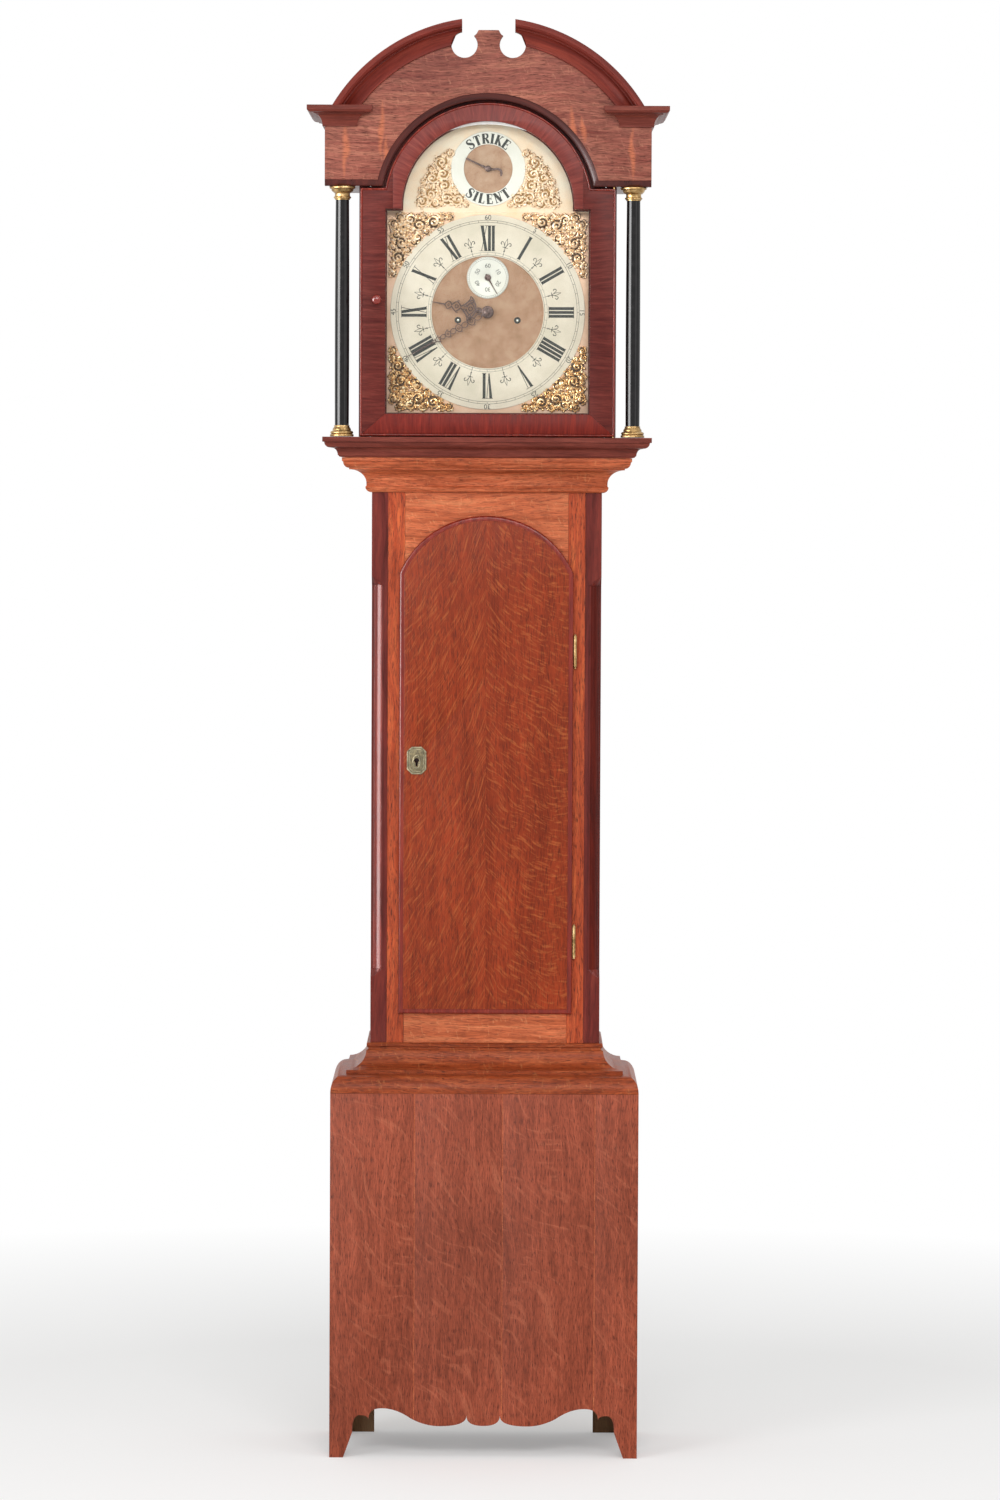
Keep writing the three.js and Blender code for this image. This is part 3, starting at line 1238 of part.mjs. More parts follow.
// Pendulum: anchor with its crutch, rod and bob, all about the one axis
function makePendulum() {
  const axis = placedGroup(0, pendulumY, pendulumAxisZ);
  const anchorY = frontPlateY + barrelSetback - pendulumY;
  const arborFront = frontPlateY - pendulumY;
  const reach = anchorReach;
  const thick = anchorThickness;
  const palletTip = reach + thick * 0.6;
  const rightArm = [
    [reach * 0.7, thick * 0.4], [palletTip, -anchorDrop * 0.5], [palletTip, -anchorDrop],
    [reach, -anchorDrop], [reach * 0.9, -anchorDrop * 0.6], [reach * 0.55, -thick],
  ];
  const leftArm = rightArm.map(([x, z]) => [-x, z]).reverse();
  const anchorShape = shapeOf([[0, thick], ...rightArm, [0, -thick * 0.7], ...leftArm]);
  const pallets = frontPrism(anchorShape, anchorY, anchorY + escapeWheelThickness + thick / 2);
  const crutchBackY = -rodThickness / 2 - seam;
  const arbor = rodForward(secondsArborRadius, arborFront, crutchBackY - rodThickness / 2, 12);
  const half = rodThickness / 2;
  const crutch = board([-half, half], [crutchBackY - rodThickness, crutchBackY], [-crutchLength, 0]);
  addPiece(axis, 'anchor', join(pallets, arbor, crutch), steel);

  const springTop = rodWidth - suspensionGap;
  const nutTop = -pendulumLength - bobRadius - seam;
  const nutFoot = nutTop - ratingNutHeight;
  const rod = board([-rodWidth / 2, rodWidth / 2], [-half, half], [nutFoot - ratingNutHeight, -rodWidth]);
  const spring = board([-half, half], [-seam, seam], [-2 * rodWidth, springTop]);
  const nut = rodUp(ratingNutRadius, nutFoot, nutTop, 16);
  addPiece(axis, 'pendulum_rod', join(rod, spring, nut), steel);

  const lensBack = [
    [bobRadius, bobThickness * 0.04], [bobRadius * 0.8, bobThickness * 0.24],
    [bobRadius * 0.45, bobThickness * 0.42], [0, bobThickness / 2],
  ];
  const lensFront = lensBack.map(([r, y]) => [r, -y]).reverse();
  const lens = turnedForward([...lensFront, ...lensBack], 32).translate(0, 0, -pendulumLength);
  const slot = board(
    [-rodWidth / 2 - seam, rodWidth / 2 + seam],
    [-half - seam, half + seam],
    [-pendulumLength - bobRadius - overrun, bobRadius + overrun - pendulumLength],
  );
  addPiece(axis, 'pendulum_bob', cut(lens, slot), brass);
}

// Weights on their pulleys, the lines round them, and the seatboard that carries all of it
function makeWeights() {
  const holes = [];
  [['going', 1], ['strike', -1]].forEach(([train, side]) => {
    const hole = rodUp(lineHoleRadius, seatboardFootZ - overrun, seatboardTopZ + overrun, 12);
    holes.push(hole.translate(side * lineOuterX, weightY, 0));
    const weight = placedGroup(side * weightX, weightY, pulleyZ);
    const topZ = -weightBelowPulley;
    const footZ = topZ - weightHeight;
    const ease = weightRadius * 0.12;
    const body = turnedUp([
      [0, footZ], [weightRadius - ease, footZ], [weightRadius, footZ + ease], [weightRadius, topZ - ease],
      [weightRadius - ease, topZ], [0, topZ],
    ], 20);
    const half = pulleyWidth / 2;
    const rim = pulleyRadius + pulleyFlange;
    const wheel = turnedForward([
      [0, -half], [rim, -half], [pulleyRadius, -half / 2], [pulleyRadius, half / 2], [rim, half], [0, half],
    ], 24);
    const strapInner = half + seam;
    const strapOuter = strapInner + strapThickness;
    const axle = rodForward(strapWidth / 4, -strapOuter, strapOuter, 12);
    const yokeTopZ = -rim - seam;
    const strapHalf = strapWidth / 2;
    const straps = [[-strapOuter, -strapInner], [strapInner, strapOuter]].map((span) =>
      board([-strapHalf, strapHalf], span, [yokeTopZ - strapHalf, strapHalf]));
    const yoke = board([-strapHalf, strapHalf], [-strapOuter, strapOuter], [topZ - strapHalf, yokeTopZ]);
    addPiece(weight, `weight_${train}`, join(body, wheel, axle, ...straps, yoke), lead);

    const headZ = seatboardFootZ - seam - pulleyZ;
    const r = lineRunRadius;
    const sides = 8;
    const roundLine = Array.from({ length: sides + 1 }, (_, i) => {
      const turn = (i % sides) * (2 * Math.PI / sides);
      return [r + lineRadius * Math.cos(turn), lineRadius * Math.sin(turn)];
    });
    const hoop = turnedForward(roundLine, 28);
    const underPulley = board([-2 * r, 2 * r], [-2 * lineRadius, 2 * lineRadius], [-2 * r, 0]);
    const drops = [-r, r].map((x) => rodUp(lineRadius, -lineRadius, headZ, sides).translate(x, 0, 0));
    addPiece(weight, `gut_line_${train}`, join(common(hoop, underPulley), ...drops), gut);
  });

  const seat = board(
    [-trunkHalf, trunkHalf],
    [frontPlateY - running, frontPlateY - running + seatboardDepth],
    [seatboardFootZ, seatboardTopZ],
  );
  addPiece(clock, 'seatboard', cut(seat, ...holes), backPine);
}

makeBase();
makeTrunk();
makeTrunkDoor();
makeHoodBody();
makeFrieze();
makeCornice();
makeColumns();
makeHoodDoor();
makeDial();
makeHands();
makeMovement();
makePendulum();
makeWeights();

export default clock;
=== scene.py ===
# Longcase clock in oak and mahogany with a brass break-arch dial: looks, light and camera.
# Lengths in the dictionaries are millimetres; the scene is in metres, z up, the front towards -y.
import math
import bpy
import bmesh
from mathutils import Matrix, Vector
from random import Random


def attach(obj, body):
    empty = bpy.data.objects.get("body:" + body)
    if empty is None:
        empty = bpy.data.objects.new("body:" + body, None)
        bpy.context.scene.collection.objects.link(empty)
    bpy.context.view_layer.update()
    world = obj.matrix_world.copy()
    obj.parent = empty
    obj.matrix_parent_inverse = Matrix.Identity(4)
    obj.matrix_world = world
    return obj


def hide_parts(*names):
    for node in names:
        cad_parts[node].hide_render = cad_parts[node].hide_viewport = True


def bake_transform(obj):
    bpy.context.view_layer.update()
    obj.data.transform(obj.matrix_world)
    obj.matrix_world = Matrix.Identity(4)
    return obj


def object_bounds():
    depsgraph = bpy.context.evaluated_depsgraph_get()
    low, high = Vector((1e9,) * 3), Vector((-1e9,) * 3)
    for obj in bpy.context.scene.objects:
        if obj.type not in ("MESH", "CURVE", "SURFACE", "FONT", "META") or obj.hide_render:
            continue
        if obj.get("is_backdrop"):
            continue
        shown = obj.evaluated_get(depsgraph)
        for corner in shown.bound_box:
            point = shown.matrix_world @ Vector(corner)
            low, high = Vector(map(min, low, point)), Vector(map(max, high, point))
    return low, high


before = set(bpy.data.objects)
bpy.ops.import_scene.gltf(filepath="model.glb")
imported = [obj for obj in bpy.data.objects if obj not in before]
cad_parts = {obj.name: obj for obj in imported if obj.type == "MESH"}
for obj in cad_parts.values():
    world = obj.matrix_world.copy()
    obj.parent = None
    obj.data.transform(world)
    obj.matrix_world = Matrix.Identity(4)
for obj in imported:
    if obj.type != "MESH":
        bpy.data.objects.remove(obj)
cadLow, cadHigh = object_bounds()
scene = bpy.context.scene
scene.view_settings.view_transform = "Standard"
mm = 0.001
print("frame loaded:", len(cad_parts), "pieces")


def linkObject(name, data):
    obj = bpy.data.objects.new(name, data)
    scene.collection.objects.link(obj)
    return obj


# Camera at chest height, looking very slightly down
cameraView = {"distance": 9000, "height": 1500, "aside": 21, "lens": 144.4, "down": 2.86, "roll": 0.24}

cameraData = bpy.data.cameras.new("camera")
cameraData.lens = cameraView["lens"]
cameraData.sensor_width = 36
cameraData.clip_start = 0.1
cameraData.clip_end = 60
camera = linkObject("camera", cameraData)
turnDown = Matrix.Rotation(math.radians(90 - cameraView["down"]), 4, "X")
turnRoll = Matrix.Rotation(math.radians(cameraView["roll"]), 4, "Z")
place = Vector((cameraView["aside"] * mm, -cameraView["distance"] * mm, cameraView["height"] * mm))
camera.matrix_world = Matrix.Translation(place) @ turnDown @ turnRoll
scene.camera = camera
print("camera placed")


# Node helpers: colours are written as sRGB hex and turned to linear here
def linearColour(hexText):
    values = [int(hexText[i:i + 2], 16) / 255 for i in (1, 3, 5)]
    return [v / 12.92 if v <= 0.04045 else ((v + 0.055) / 1.055) ** 2.4 for v in values] + [1.0]


# A link may name a socket, or a node whose first output is meant.
def addNode(tree, kind, settings=None, links=None):
    node = tree.nodes.new(kind)
    for key, value in (settings or {}).items():
        if key == "stops":
            ramp = node.color_ramp
            while len(ramp.elements) < len(value):
                ramp.elements.new(0.5)
            for element, (position, colour) in zip(ramp.elements, value):
                element.position = position
                element.color = linearColour(colour)
        elif isinstance(key, int) or key in node.inputs:
            isColour = isinstance(value, str) and value.startswith("#")
            node.inputs[key].default_value = linearColour(value) if isColour else value
        else:
            setattr(node, key, value)
    for key, source in (links or {}).items():
        tree.links.new(getattr(source, "outputs", [source])[0], node.inputs[key])
    return node


def newMaterial(name):
    material = bpy.data.materials.new(name)
    material.use_nodes = True
    material.node_tree.nodes.clear()
    return material, material.node_tree


# One where the camera, a mirror or glass sees the surface, nought where only light falls on it
def seenDirectly(tree):
    rays = addNode(tree, "ShaderNodeLightPath").outputs
    seen = addNode(tree, "ShaderNodeMath", {"operation": "MAXIMUM"},
                   {0: rays["Is Camera Ray"], 1: rays["Is Glossy Ray"]})
    return addNode(tree, "ShaderNodeMath", {"operation": "MAXIMUM"}, {0: seen, 1: rays["Is Transmission Ray"]})


# Floor and backdrop; lamps have their power in watts, size, place and the height they are aimed at in metres
stageLook = {"floorHalf": 9000, "shadowInner": 1100, "shadowOuter": 2600, "floor": "#fdfdfc", "glow": 0.3,
             "world": 0.56}
lamps = {
    "key softbox": (52, (1.6, 2.6), (-2.9, -3.6, 2.6), 1.2),
    "fill softbox": (12, (1.4, 2.6), (3.2, -3.0, 1.9), 1.1),
    "front softbox": (119, (2.6, 1.3), (0.5, -5.4, 3.5), 1.6),
    "left card": (360, (2.6, 3.0), (-3.6, -2.4, 1.5), 1.2),
    "right card": (50, (1.6, 1.6), (2.6, -3.0, 4.2), 1.6),
    "top softbox": (12, (2.4, 1.6), (0, -1.6, 4.2), 1.4),
}


# Matt white paint, which shows the clock's shadow close by and turns to plain white farther out
def makeFloor():
    half = stageLook["floorHalf"] * mm
    mesh = bpy.data.meshes.new("floor")
    mesh.from_pydata([(-half, -half, 0), (half, -half, 0), (half, half, 0), (-half, half, 0)], [], [(0, 1, 2, 3)])
    floor = linkObject("floor", mesh)
    material, tree = newMaterial("painted studio floor")
    coords = addNode(tree, "ShaderNodeTexCoord")
    reach = addNode(tree, "ShaderNodeVectorMath", {"operation": "LENGTH"}, {0: coords.outputs["Object"]})
    far = addNode(tree, "ShaderNodeMapRange", {"From Min": stageLook["shadowInner"] * mm,
                  "From Max": stageLook["shadowOuter"] * mm, "To Min": stageLook["glow"]},
                  {"Value": reach.outputs["Value"]})
    share = addNode(tree, "ShaderNodeMath", {"operation": "MULTIPLY"}, {0: seenDirectly(tree), 1: far})
    paint = addNode(tree, "ShaderNodeBsdfDiffuse", {"Color": stageLook["floor"]})
    white = addNode(tree, "ShaderNodeEmission", {"Color": "#ffffff", "Strength": 1.0})
    mixed = addNode(tree, "ShaderNodeMixShader", links={0: share, 1: paint, 2: white})
    addNode(tree, "ShaderNodeOutputMaterial", links={"Surface": mixed})
    mesh.materials.append(material)
    floor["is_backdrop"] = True


def makeWorld():
    world = bpy.data.worlds.new("studio")
    scene.world = world
    world.use_nodes = True
    tree = world.node_tree
    tree.nodes.clear()
    dim = addNode(tree, "ShaderNodeBackground", {"Color": "#ffffff", "Strength": stageLook["world"]})
    bright = addNode(tree, "ShaderNodeBackground", {"Color": "#ffffff", "Strength": 1.0})
    mixed = addNode(tree, "ShaderNodeMixShader", links={0: seenDirectly(tree), 1: dim, 2: bright})
    addNode(tree, "ShaderNodeOutputWorld", links={"Surface": mixed})


makeFloor()
makeWorld()
for name, (power, size, at, aim) in lamps.items():
    data = bpy.data.lights.new(name, "AREA")
    data.energy = power
    data.shape = "RECTANGLE"
    data.size, data.size_y = size
    lamp = linkObject(name, data)
    away = Vector((0, 0, aim)) - Vector(at)
    lamp.matrix_world = Matrix.Translation(at) @ away.to_track_quat("-Z", "Y").to_matrix().to_4x4()
    lamp.visible_diffuse = "card" not in name  # only polished edges mirror a card, for their bright lines
print("floor and lights made")

# Timber. Each wood is cut the way the joiner used it, so grain runs with the piece. Rays are the light strokes of
# quartered oak: how steeply they fall left and right of the middle, how wide and long they are, how far they wander.
woodUsual = {"figure": 9, "fibre": 0.24, "pores": 0.3, "gloss": 0.34, "shine": 0.12, "boards": []}
rayUsual = {"bend": 0, "level": 0.6, "strength": 0.45, "wander": 60, "sway": 6.0}
woods = {
    # quarter-sawn, waxed and worn: deep red-brown with fine paler rays that fall away from the middle
    "quartered oak, door": {
        "grain": "z", "bookMatched": True, "boards": [0], "colours": ["#752810", "#853013", "#933616"], "figure": 16,
        "rays": {"colour": "#ad5a2e", "slope": (2.3, 1.1), "bend": -0.004, "width": 3.9, "length": 18, "level": 0.52,
                 "strength": 0.7, "wander": 45, "sway": 13}, "fibre": 0.3, "pores": 0.6, "gloss": 0.42, "shine": 0.14},
    # four planed boards of one log: long soft figure that breaks at each joint, open dark pores
    "oak, base boards": {
        "grain": "z", "boards": [-103.6, 27.4, 164.4], "colours": ["#7c3a27", "#90452f", "#a15038"], "figure": 6,
        "rays": {"colour": "#b06146", "slope": (1.0, 1.0), "width": 14, "length": 40, "level": 0.55, "strength": 0.6,
                 "wander": 300, "sway": 5}, "fibre": 0.42, "pores": 0.85, "gloss": 0.46, "shine": 0.14},
    # lighter, sun-bleached rails: orange-brown with short level flecks
    "oak, rails": {
        "grain": "x", "colours": ["#8f4120", "#bb603b", "#cd7c50"], "fibre": 0.3,
        "rays": {"colour": "#e09a68", "slope": (0.3, 0.3), "width": 5, "length": 14, "strength": 0.5},
        "pores": 0.55, "gloss": 0.42, "shine": 0.16},
    # straight upright grain: warm orange with fine dark strokes
    "oak, stiles": {
        "grain": "z", "colours": ["#923616", "#ab4826", "#c25f30"], "figure": 7, "fibre": 0.3, "pores": 0.85,
        "gloss": 0.42, "shine": 0.16},
    # duller, pinkish board with level flecks and a few lit upright flames
    "quartered oak, frieze": {
        "grain": "x", "colours": ["#74372e", "#8e5143", "#a56955"], "figure": 7, "fibre": 0.42,
        "rays": {"colour": "#c18368", "slope": (0.25, 0.25), "width": 5, "length": 16},
        "flames": {"colour": "#c36f4e", "strength": 0.75, "half": 4.5, "places": [
            (-209, 1895, 1985), (-158, 1925, 2012), (-149, 1900, 1960), (123, 1930, 2005), (140, 1950, 1990),
            (214, 1895, 1975)]},
        "pores": 0.8, "gloss": 0.46, "shine": 0.14},
    # close-grained and waxed: dark red-brown mouldings with a quiet sheen
    "mahogany, along x": {"grain": "x", "colours": ["#54241c", "#703329", "#854436"]},
    # the same on end, redder and a little glossier
    "mahogany, upright": {"grain": "z", "colours": ["#4a140e", "#641f18", "#7a2d20"], "gloss": 0.3, "shine": 0.2},
    # edges rubbed by hands: bright red with crisp highlights
    "mahogany, polished edge": {"grain": "z", "colours": ["#5e170d", "#7c2214", "#94311c"], "pores": 0.25,
                                "gloss": 0.22, "shine": 0.34},
    # painted shade: a darker, duller copy of the polished edge for the cant turned from the light, nearly black-red
    "mahogany, dark edge": {"grain": "z", "colours": ["#3c0d07", "#54150c", "#6a2012"], "pores": 0.25, "gloss": 0.26,
                            "shine": 0.1},
    # moulding bent with the pediment, so its streaks follow the arch
    "mahogany, pediment band": {"grain": "arc", "centreZ": 1865.0, "colours": ["#541b14", "#71281f", "#863729"]},
    # hollow of the frieze's arch: mahogany darkened further as painted shade in the hollow, darkest of all, with a soft
    # gleam
    "mahogany, door arch": {"grain": "arc", "centreZ": 1855.8, "colours": ["#34110d", "#4a1913", "#5f241a"],
                            "figure": 8, "fibre": 0.2, "gloss": 0.3, "shine": 0.3},
    # veneer laid across the stiles: narrow level streaks, plum-red
    "mahogany, crossbanded": {"grain": "x", "colours": ["#4e1917", "#61241e", "#723028"], "figure": 5, "fibre": 0.3,
                              "gloss": 0.36, "shine": 0.14},
    # veneer of the foot rail: upright streaks, clear red
    "mahogany, foot rail": {"grain": "z", "colours": ["#5c120b", "#701b10", "#842617"], "figure": 5, "fibre": 0.3,
                            "gloss": 0.36},
    # veneer laid like spokes round the arch, paler than the stiles
    "mahogany, arch rail": {"grain": "radial", "centreZ": 1855.8, "colours": ["#60221e", "#773029", "#8b4036"],
                            "figure": 5, "fibre": 0.26, "pores": 0.25, "gloss": 0.36, "shine": 0.2},
    # turned and handled: smooth cherry red with one sharp highlight
    "polished cherry, knob": {"grain": "z", "colours": ["#65170d", "#821f12", "#9c301d"], "fibre": 0.1, "pores": 0.1,
                              "gloss": 0.16, "shine": 0.6},
    # planed oak moulding over the base: brown-orange with level flecks and open pores
    "oak mouldings, along x": {
        "grain": "x", "colours": ["#6e2b10", "#904020", "#aa5832"], "figure": 8, "fibre": 0.36,
        "rays": {"colour": "#cc8350", "slope": (0.2, 0.2), "width": 5, "length": 12, "wander": 40}, "pores": 0.8,
        "shine": 0.14},
    # the same under the hood, painted a lighter orange against the shade the hood casts
    "oak, throat moulding": {
        "grain": "x", "colours": ["#85391b", "#b15937", "#c5734d"], "figure": 8, "fibre": 0.36,
        "rays": {"colour": "#d89060", "slope": (0.2, 0.2), "width": 5, "length": 12, "wander": 40}, "pores": 0.7,
        "gloss": 0.36, "shine": 0.14},
    # sawn and unfinished: dull yellow-brown with wide rings
    "pine, backboards": {
        "grain": "z", "boards": [-57, 61], "colours": ["#6b4a30", "#8a6a4a", "#a07e58"], "figure": 24, "fibre": 0.2,
        "pores": 0.2, "gloss": 0.75, "shine": 0.2},
    # the same, laid from side to side
    "pine, roof boards": {"grain": "x", "colours": ["#6b4a30", "#8a6a4a", "#a07e58"], "figure": 24, "fibre": 0.2,
                          "pores": 0.2, "gloss": 0.75, "shine": 0.2},
}


# Polished timber: broad figure, fine fibres and short dark pores, with rays across quartered oak.
def makeWood(name, look):
    wood = {**woodUsual, **look}
    material, tree = newMaterial(name)
    coords = addNode(tree, "ShaderNodeTexCoord")
    x, y, z = addNode(tree, "ShaderNodeSeparateXYZ", links={0: coords.outputs["Object"]}).outputs
    ways = {"z": (x, y, z), "x": (z, y, x)}
    if "centreZ" in wood:  # grain that follows an arch, or stands across it like spokes
        rise = addNode(tree, "ShaderNodeMath", {"operation": "SUBTRACT", 1: wood["centreZ"] * mm}, {0: z})
        spoke = addNode(tree, "ShaderNodeCombineXYZ", links={0: x, 1: rise})
        reach = addNode(tree, "ShaderNodeVectorMath", {"operation": "LENGTH"}, {0: spoke}).outputs["Value"]
        angle = addNode(tree, "ShaderNodeMath", {"operation": "ARCTAN2"}, {0: x, 1: rise})
        sweep = addNode(tree, "ShaderNodeMath", {"operation": "MULTIPLY", 1: 0.15}, {0: angle})
        ways = {"arc": (reach, y, sweep), "radial": (sweep, y, reach)}
    across, through, along = ways[wood["grain"]]
    if "bookMatched" in wood:
        across = addNode(tree, "ShaderNodeMath", {"operation": "ABSOLUTE"}, {0: across})
    for edge in wood["boards"]:  # each board was cut from another length of the log
        beyond = addNode(tree, "ShaderNodeMath", {"operation": "GREATER_THAN", 1: edge * mm}, {0: x})
        along = addNode(tree, "ShaderNodeMath", {"operation": "MULTIPLY_ADD", 1: 3.7}, {0: beyond, 2: along})
    grain = addNode(tree, "ShaderNodeCombineXYZ", links={0: across, 1: through, 2: along})

    # slow wander of the fibres
    wander = addNode(tree, "ShaderNodeTexNoise", {"Scale": 5.0, "Detail": 2.0}, {"Vector": grain})
    centred = addNode(tree, "ShaderNodeVectorMath", {"operation": "SUBTRACT", 1: (0.5, 0.5, 0.5)},
                      {0: wander.outputs["Color"]})
    drift = addNode(tree, "ShaderNodeVectorMath", {"operation": "MULTIPLY", 1: (0.035, 0.0, 0.0)}, {0: centred})
    fibres = addNode(tree, "ShaderNodeVectorMath", {"operation": "ADD"}, {0: grain, 1: drift})

    width = wood["figure"] * mm
    stretched = addNode(tree, "ShaderNodeMapping", {"Scale": (1 / width, 1 / width, 0.07 / width)},
                        {"Vector": fibres})
    figure = addNode(tree, "ShaderNodeTexNoise", {"Scale": 1.0, "Detail": 5.0, "Roughness": 0.6, "Distortion": 0.3},
                     {"Vector": stretched})
    dark, middle, light = wood["colours"]
    colour = addNode(tree, "ShaderNodeValToRGB", {"stops": [(0.28, dark), (0.5, middle), (0.74, light)]},
                     {0: figure})

    # fibres 1.7 mm apart that lighten and darken the figure, and broad patches left by old polish
    fineMap = addNode(tree, "ShaderNodeMapping", {"Scale": (1 / 0.0017, 1 / 0.0017, 1 / 0.021)}, {"Vector": fibres})
    fine = addNode(tree, "ShaderNodeTexNoise", {"Scale": 1.0, "Detail": 3.0, "Roughness": 0.6}, {"Vector": fineMap})
    shade = addNode(tree, "ShaderNodeMapRange", {"From Min": 0.25, "From Max": 0.75, "To Min": 1 - wood["fibre"],
                                                 "To Max": 1 + wood["fibre"]}, {"Value": fine})
    patches = addNode(tree, "ShaderNodeTexNoise", {"Scale": 4.2, "Detail": 2.0, "Roughness": 0.5},
                      {"Vector": coords.outputs["Object"]})
    patch = addNode(tree, "ShaderNodeMapRange", {"From Min": 0.3, "From Max": 0.7, "To Min": 0.82, "To Max": 1.16},
                    {"Value": patches})
    both = addNode(tree, "ShaderNodeMath", {"operation": "MULTIPLY"}, {0: shade, 1: patch})
    colour = addNode(tree, "ShaderNodeVectorMath", {"operation": "SCALE"}, {0: colour, "Scale": both})

    if "rays" in wood:
        rays = {**rayUsual, **wood["rays"]}
        left, right = rays["slope"]
        side = addNode(tree, "ShaderNodeMath", {"operation": "GREATER_THAN", 1: 0.0}, {0: x})
        slope = addNode(tree, "ShaderNodeMath", {"operation": "MULTIPLY_ADD", 1: right - left, 2: left}, {0: side})
        bent = addNode(tree, "ShaderNodeMath", {"operation": "MULTIPLY_ADD", 1: rays["bend"] / mm},
                       {0: across, 2: slope})
        tilt = addNode(tree, "ShaderNodeMath", {"operation": "MULTIPLY_ADD"}, {0: across, 1: bent, 2: along})
        sway = addNode(tree, "ShaderNodeTexNoise", {"Scale": rays["sway"], "Detail": 1.0}, {"Vector": grain})
        fall = addNode(tree, "ShaderNodeMath", {"operation": "MULTIPLY_ADD", 1: rays["wander"] * mm},
                       {0: sway, 2: tilt})
        wide = addNode(tree, "ShaderNodeMath", {"operation": "DIVIDE", 1: rays["width"] * mm}, {0: fall})
        long = addNode(tree, "ShaderNodeMath", {"operation": "DIVIDE", 1: rays["length"] * mm}, {0: across})
        spread = addNode(tree, "ShaderNodeCombineXYZ", links={0: wide, 1: long})
        strokes = addNode(tree, "ShaderNodeTexNoise", {"Scale": 1.0, "Detail": 3.0, "Roughness": 0.55,
                                                       "Distortion": 0.7}, {"Vector": spread})
        mask = addNode(tree, "ShaderNodeMapRange", {"From Min": rays["level"], "From Max": rays["level"] + 0.16,
                                                    "To Max": rays["strength"]}, {"Value": strokes})
        colour = addNode(tree, "ShaderNodeMix", {"data_type": "RGBA", 7: rays["colour"]},
                         {0: mask, 6: colour}).outputs[2]
    if "flames" in wood:
        flames = wood["flames"]
        sway = addNode(tree, "ShaderNodeTexNoise", {"Scale": 22.0, "Detail": 2.0}, {"Vector": coords.outputs["Object"]})
        bent = addNode(tree, "ShaderNodeMath", {"operation": "MULTIPLY_ADD", 1: 0.022}, {0: sway, 2: x})
        for place, low, high in flames["places"]:
            aside = addNode(tree, "ShaderNodeMath", {"operation": "SUBTRACT", 1: (place + 11) * mm}, {0: bent})
            away = addNode(tree, "ShaderNodeMath", {"operation": "ABSOLUTE"}, {0: aside})
            above = addNode(tree, "ShaderNodeMath", {"operation": "SUBTRACT", 1: (low + high) / 2 * mm}, {0: z})
            rise = addNode(tree, "ShaderNodeMath", {"operation": "ABSOLUTE"}, {0: above})
            reach = addNode(tree, "ShaderNodeMath", {"operation": "MULTIPLY_ADD", 1: 0.12 * 90 / (high - low)},
                            {0: rise, 2: away})
            tongue = addNode(tree, "ShaderNodeMapRange", {
                "From Min": flames["half"] * 0.6 * mm, "From Max": flames["half"] * 1.6 * mm,
                "To Min": flames["strength"], "To Max": 0.0}, {"Value": reach})
            inside = addNode(tree, "ShaderNodeMath", {"operation": "LESS_THAN", 1: (high - low) / 2 * mm}, {0: rise})
            lit = addNode(tree, "ShaderNodeMath", {"operation": "MULTIPLY"}, {0: tongue, 1: inside})
            colour = addNode(tree, "ShaderNodeMix", {"data_type": "RGBA", 7: flames["colour"]},
                             {0: lit, 6: colour}).outputs[2]

    # pores, drawn 0.9 mm wide so that they show, where real ones are nearer 0.3 mm
    poreMap = addNode(tree, "ShaderNodeMapping", {"Scale": (1 / 0.0009, 1 / 0.0009, 1 / 0.011)}, {"Vector": fibres})
    pores = addNode(tree, "ShaderNodeTexNoise", {"Scale": 1.0, "Detail": 2.0, "Roughness": 0.6}, {"Vector": poreMap})
    poreMask = addNode(tree, "ShaderNodeMapRange", {"From Min": 0.54, "From Max": 0.66, "To Max": wood["pores"]},
                       {"Value": pores})
    colour = addNode(tree, "ShaderNodeMix", {"data_type": "RGBA", 7: "#3a120a"}, {0: poreMask, 6: colour})
    dull = addNode(tree, "ShaderNodeMapRange", {"From Min": 0.3, "From Max": 0.7, "To Min": wood["gloss"] - 0.05,
                                                "To Max": wood["gloss"] + 0.09}, {"Value": figure})
    relief = addNode(tree, "ShaderNodeBump", {"Strength": 0.3, "Distance": 0.0003, "invert": True},
                     {"Height": poreMask})
    shader = addNode(tree, "ShaderNodeBsdfPrincipled", {"IOR": 1.5, "Specular IOR Level": wood["shine"]},
                     {"Base Color": colour.outputs[2], "Roughness": dull, "Normal": relief})
    addNode(tree, "ShaderNodeOutputMaterial", links={"Surface": shader})
    return material


timber = {name: makeWood(name, look) for name, look in woods.items()}
print("timber made:", len(timber))

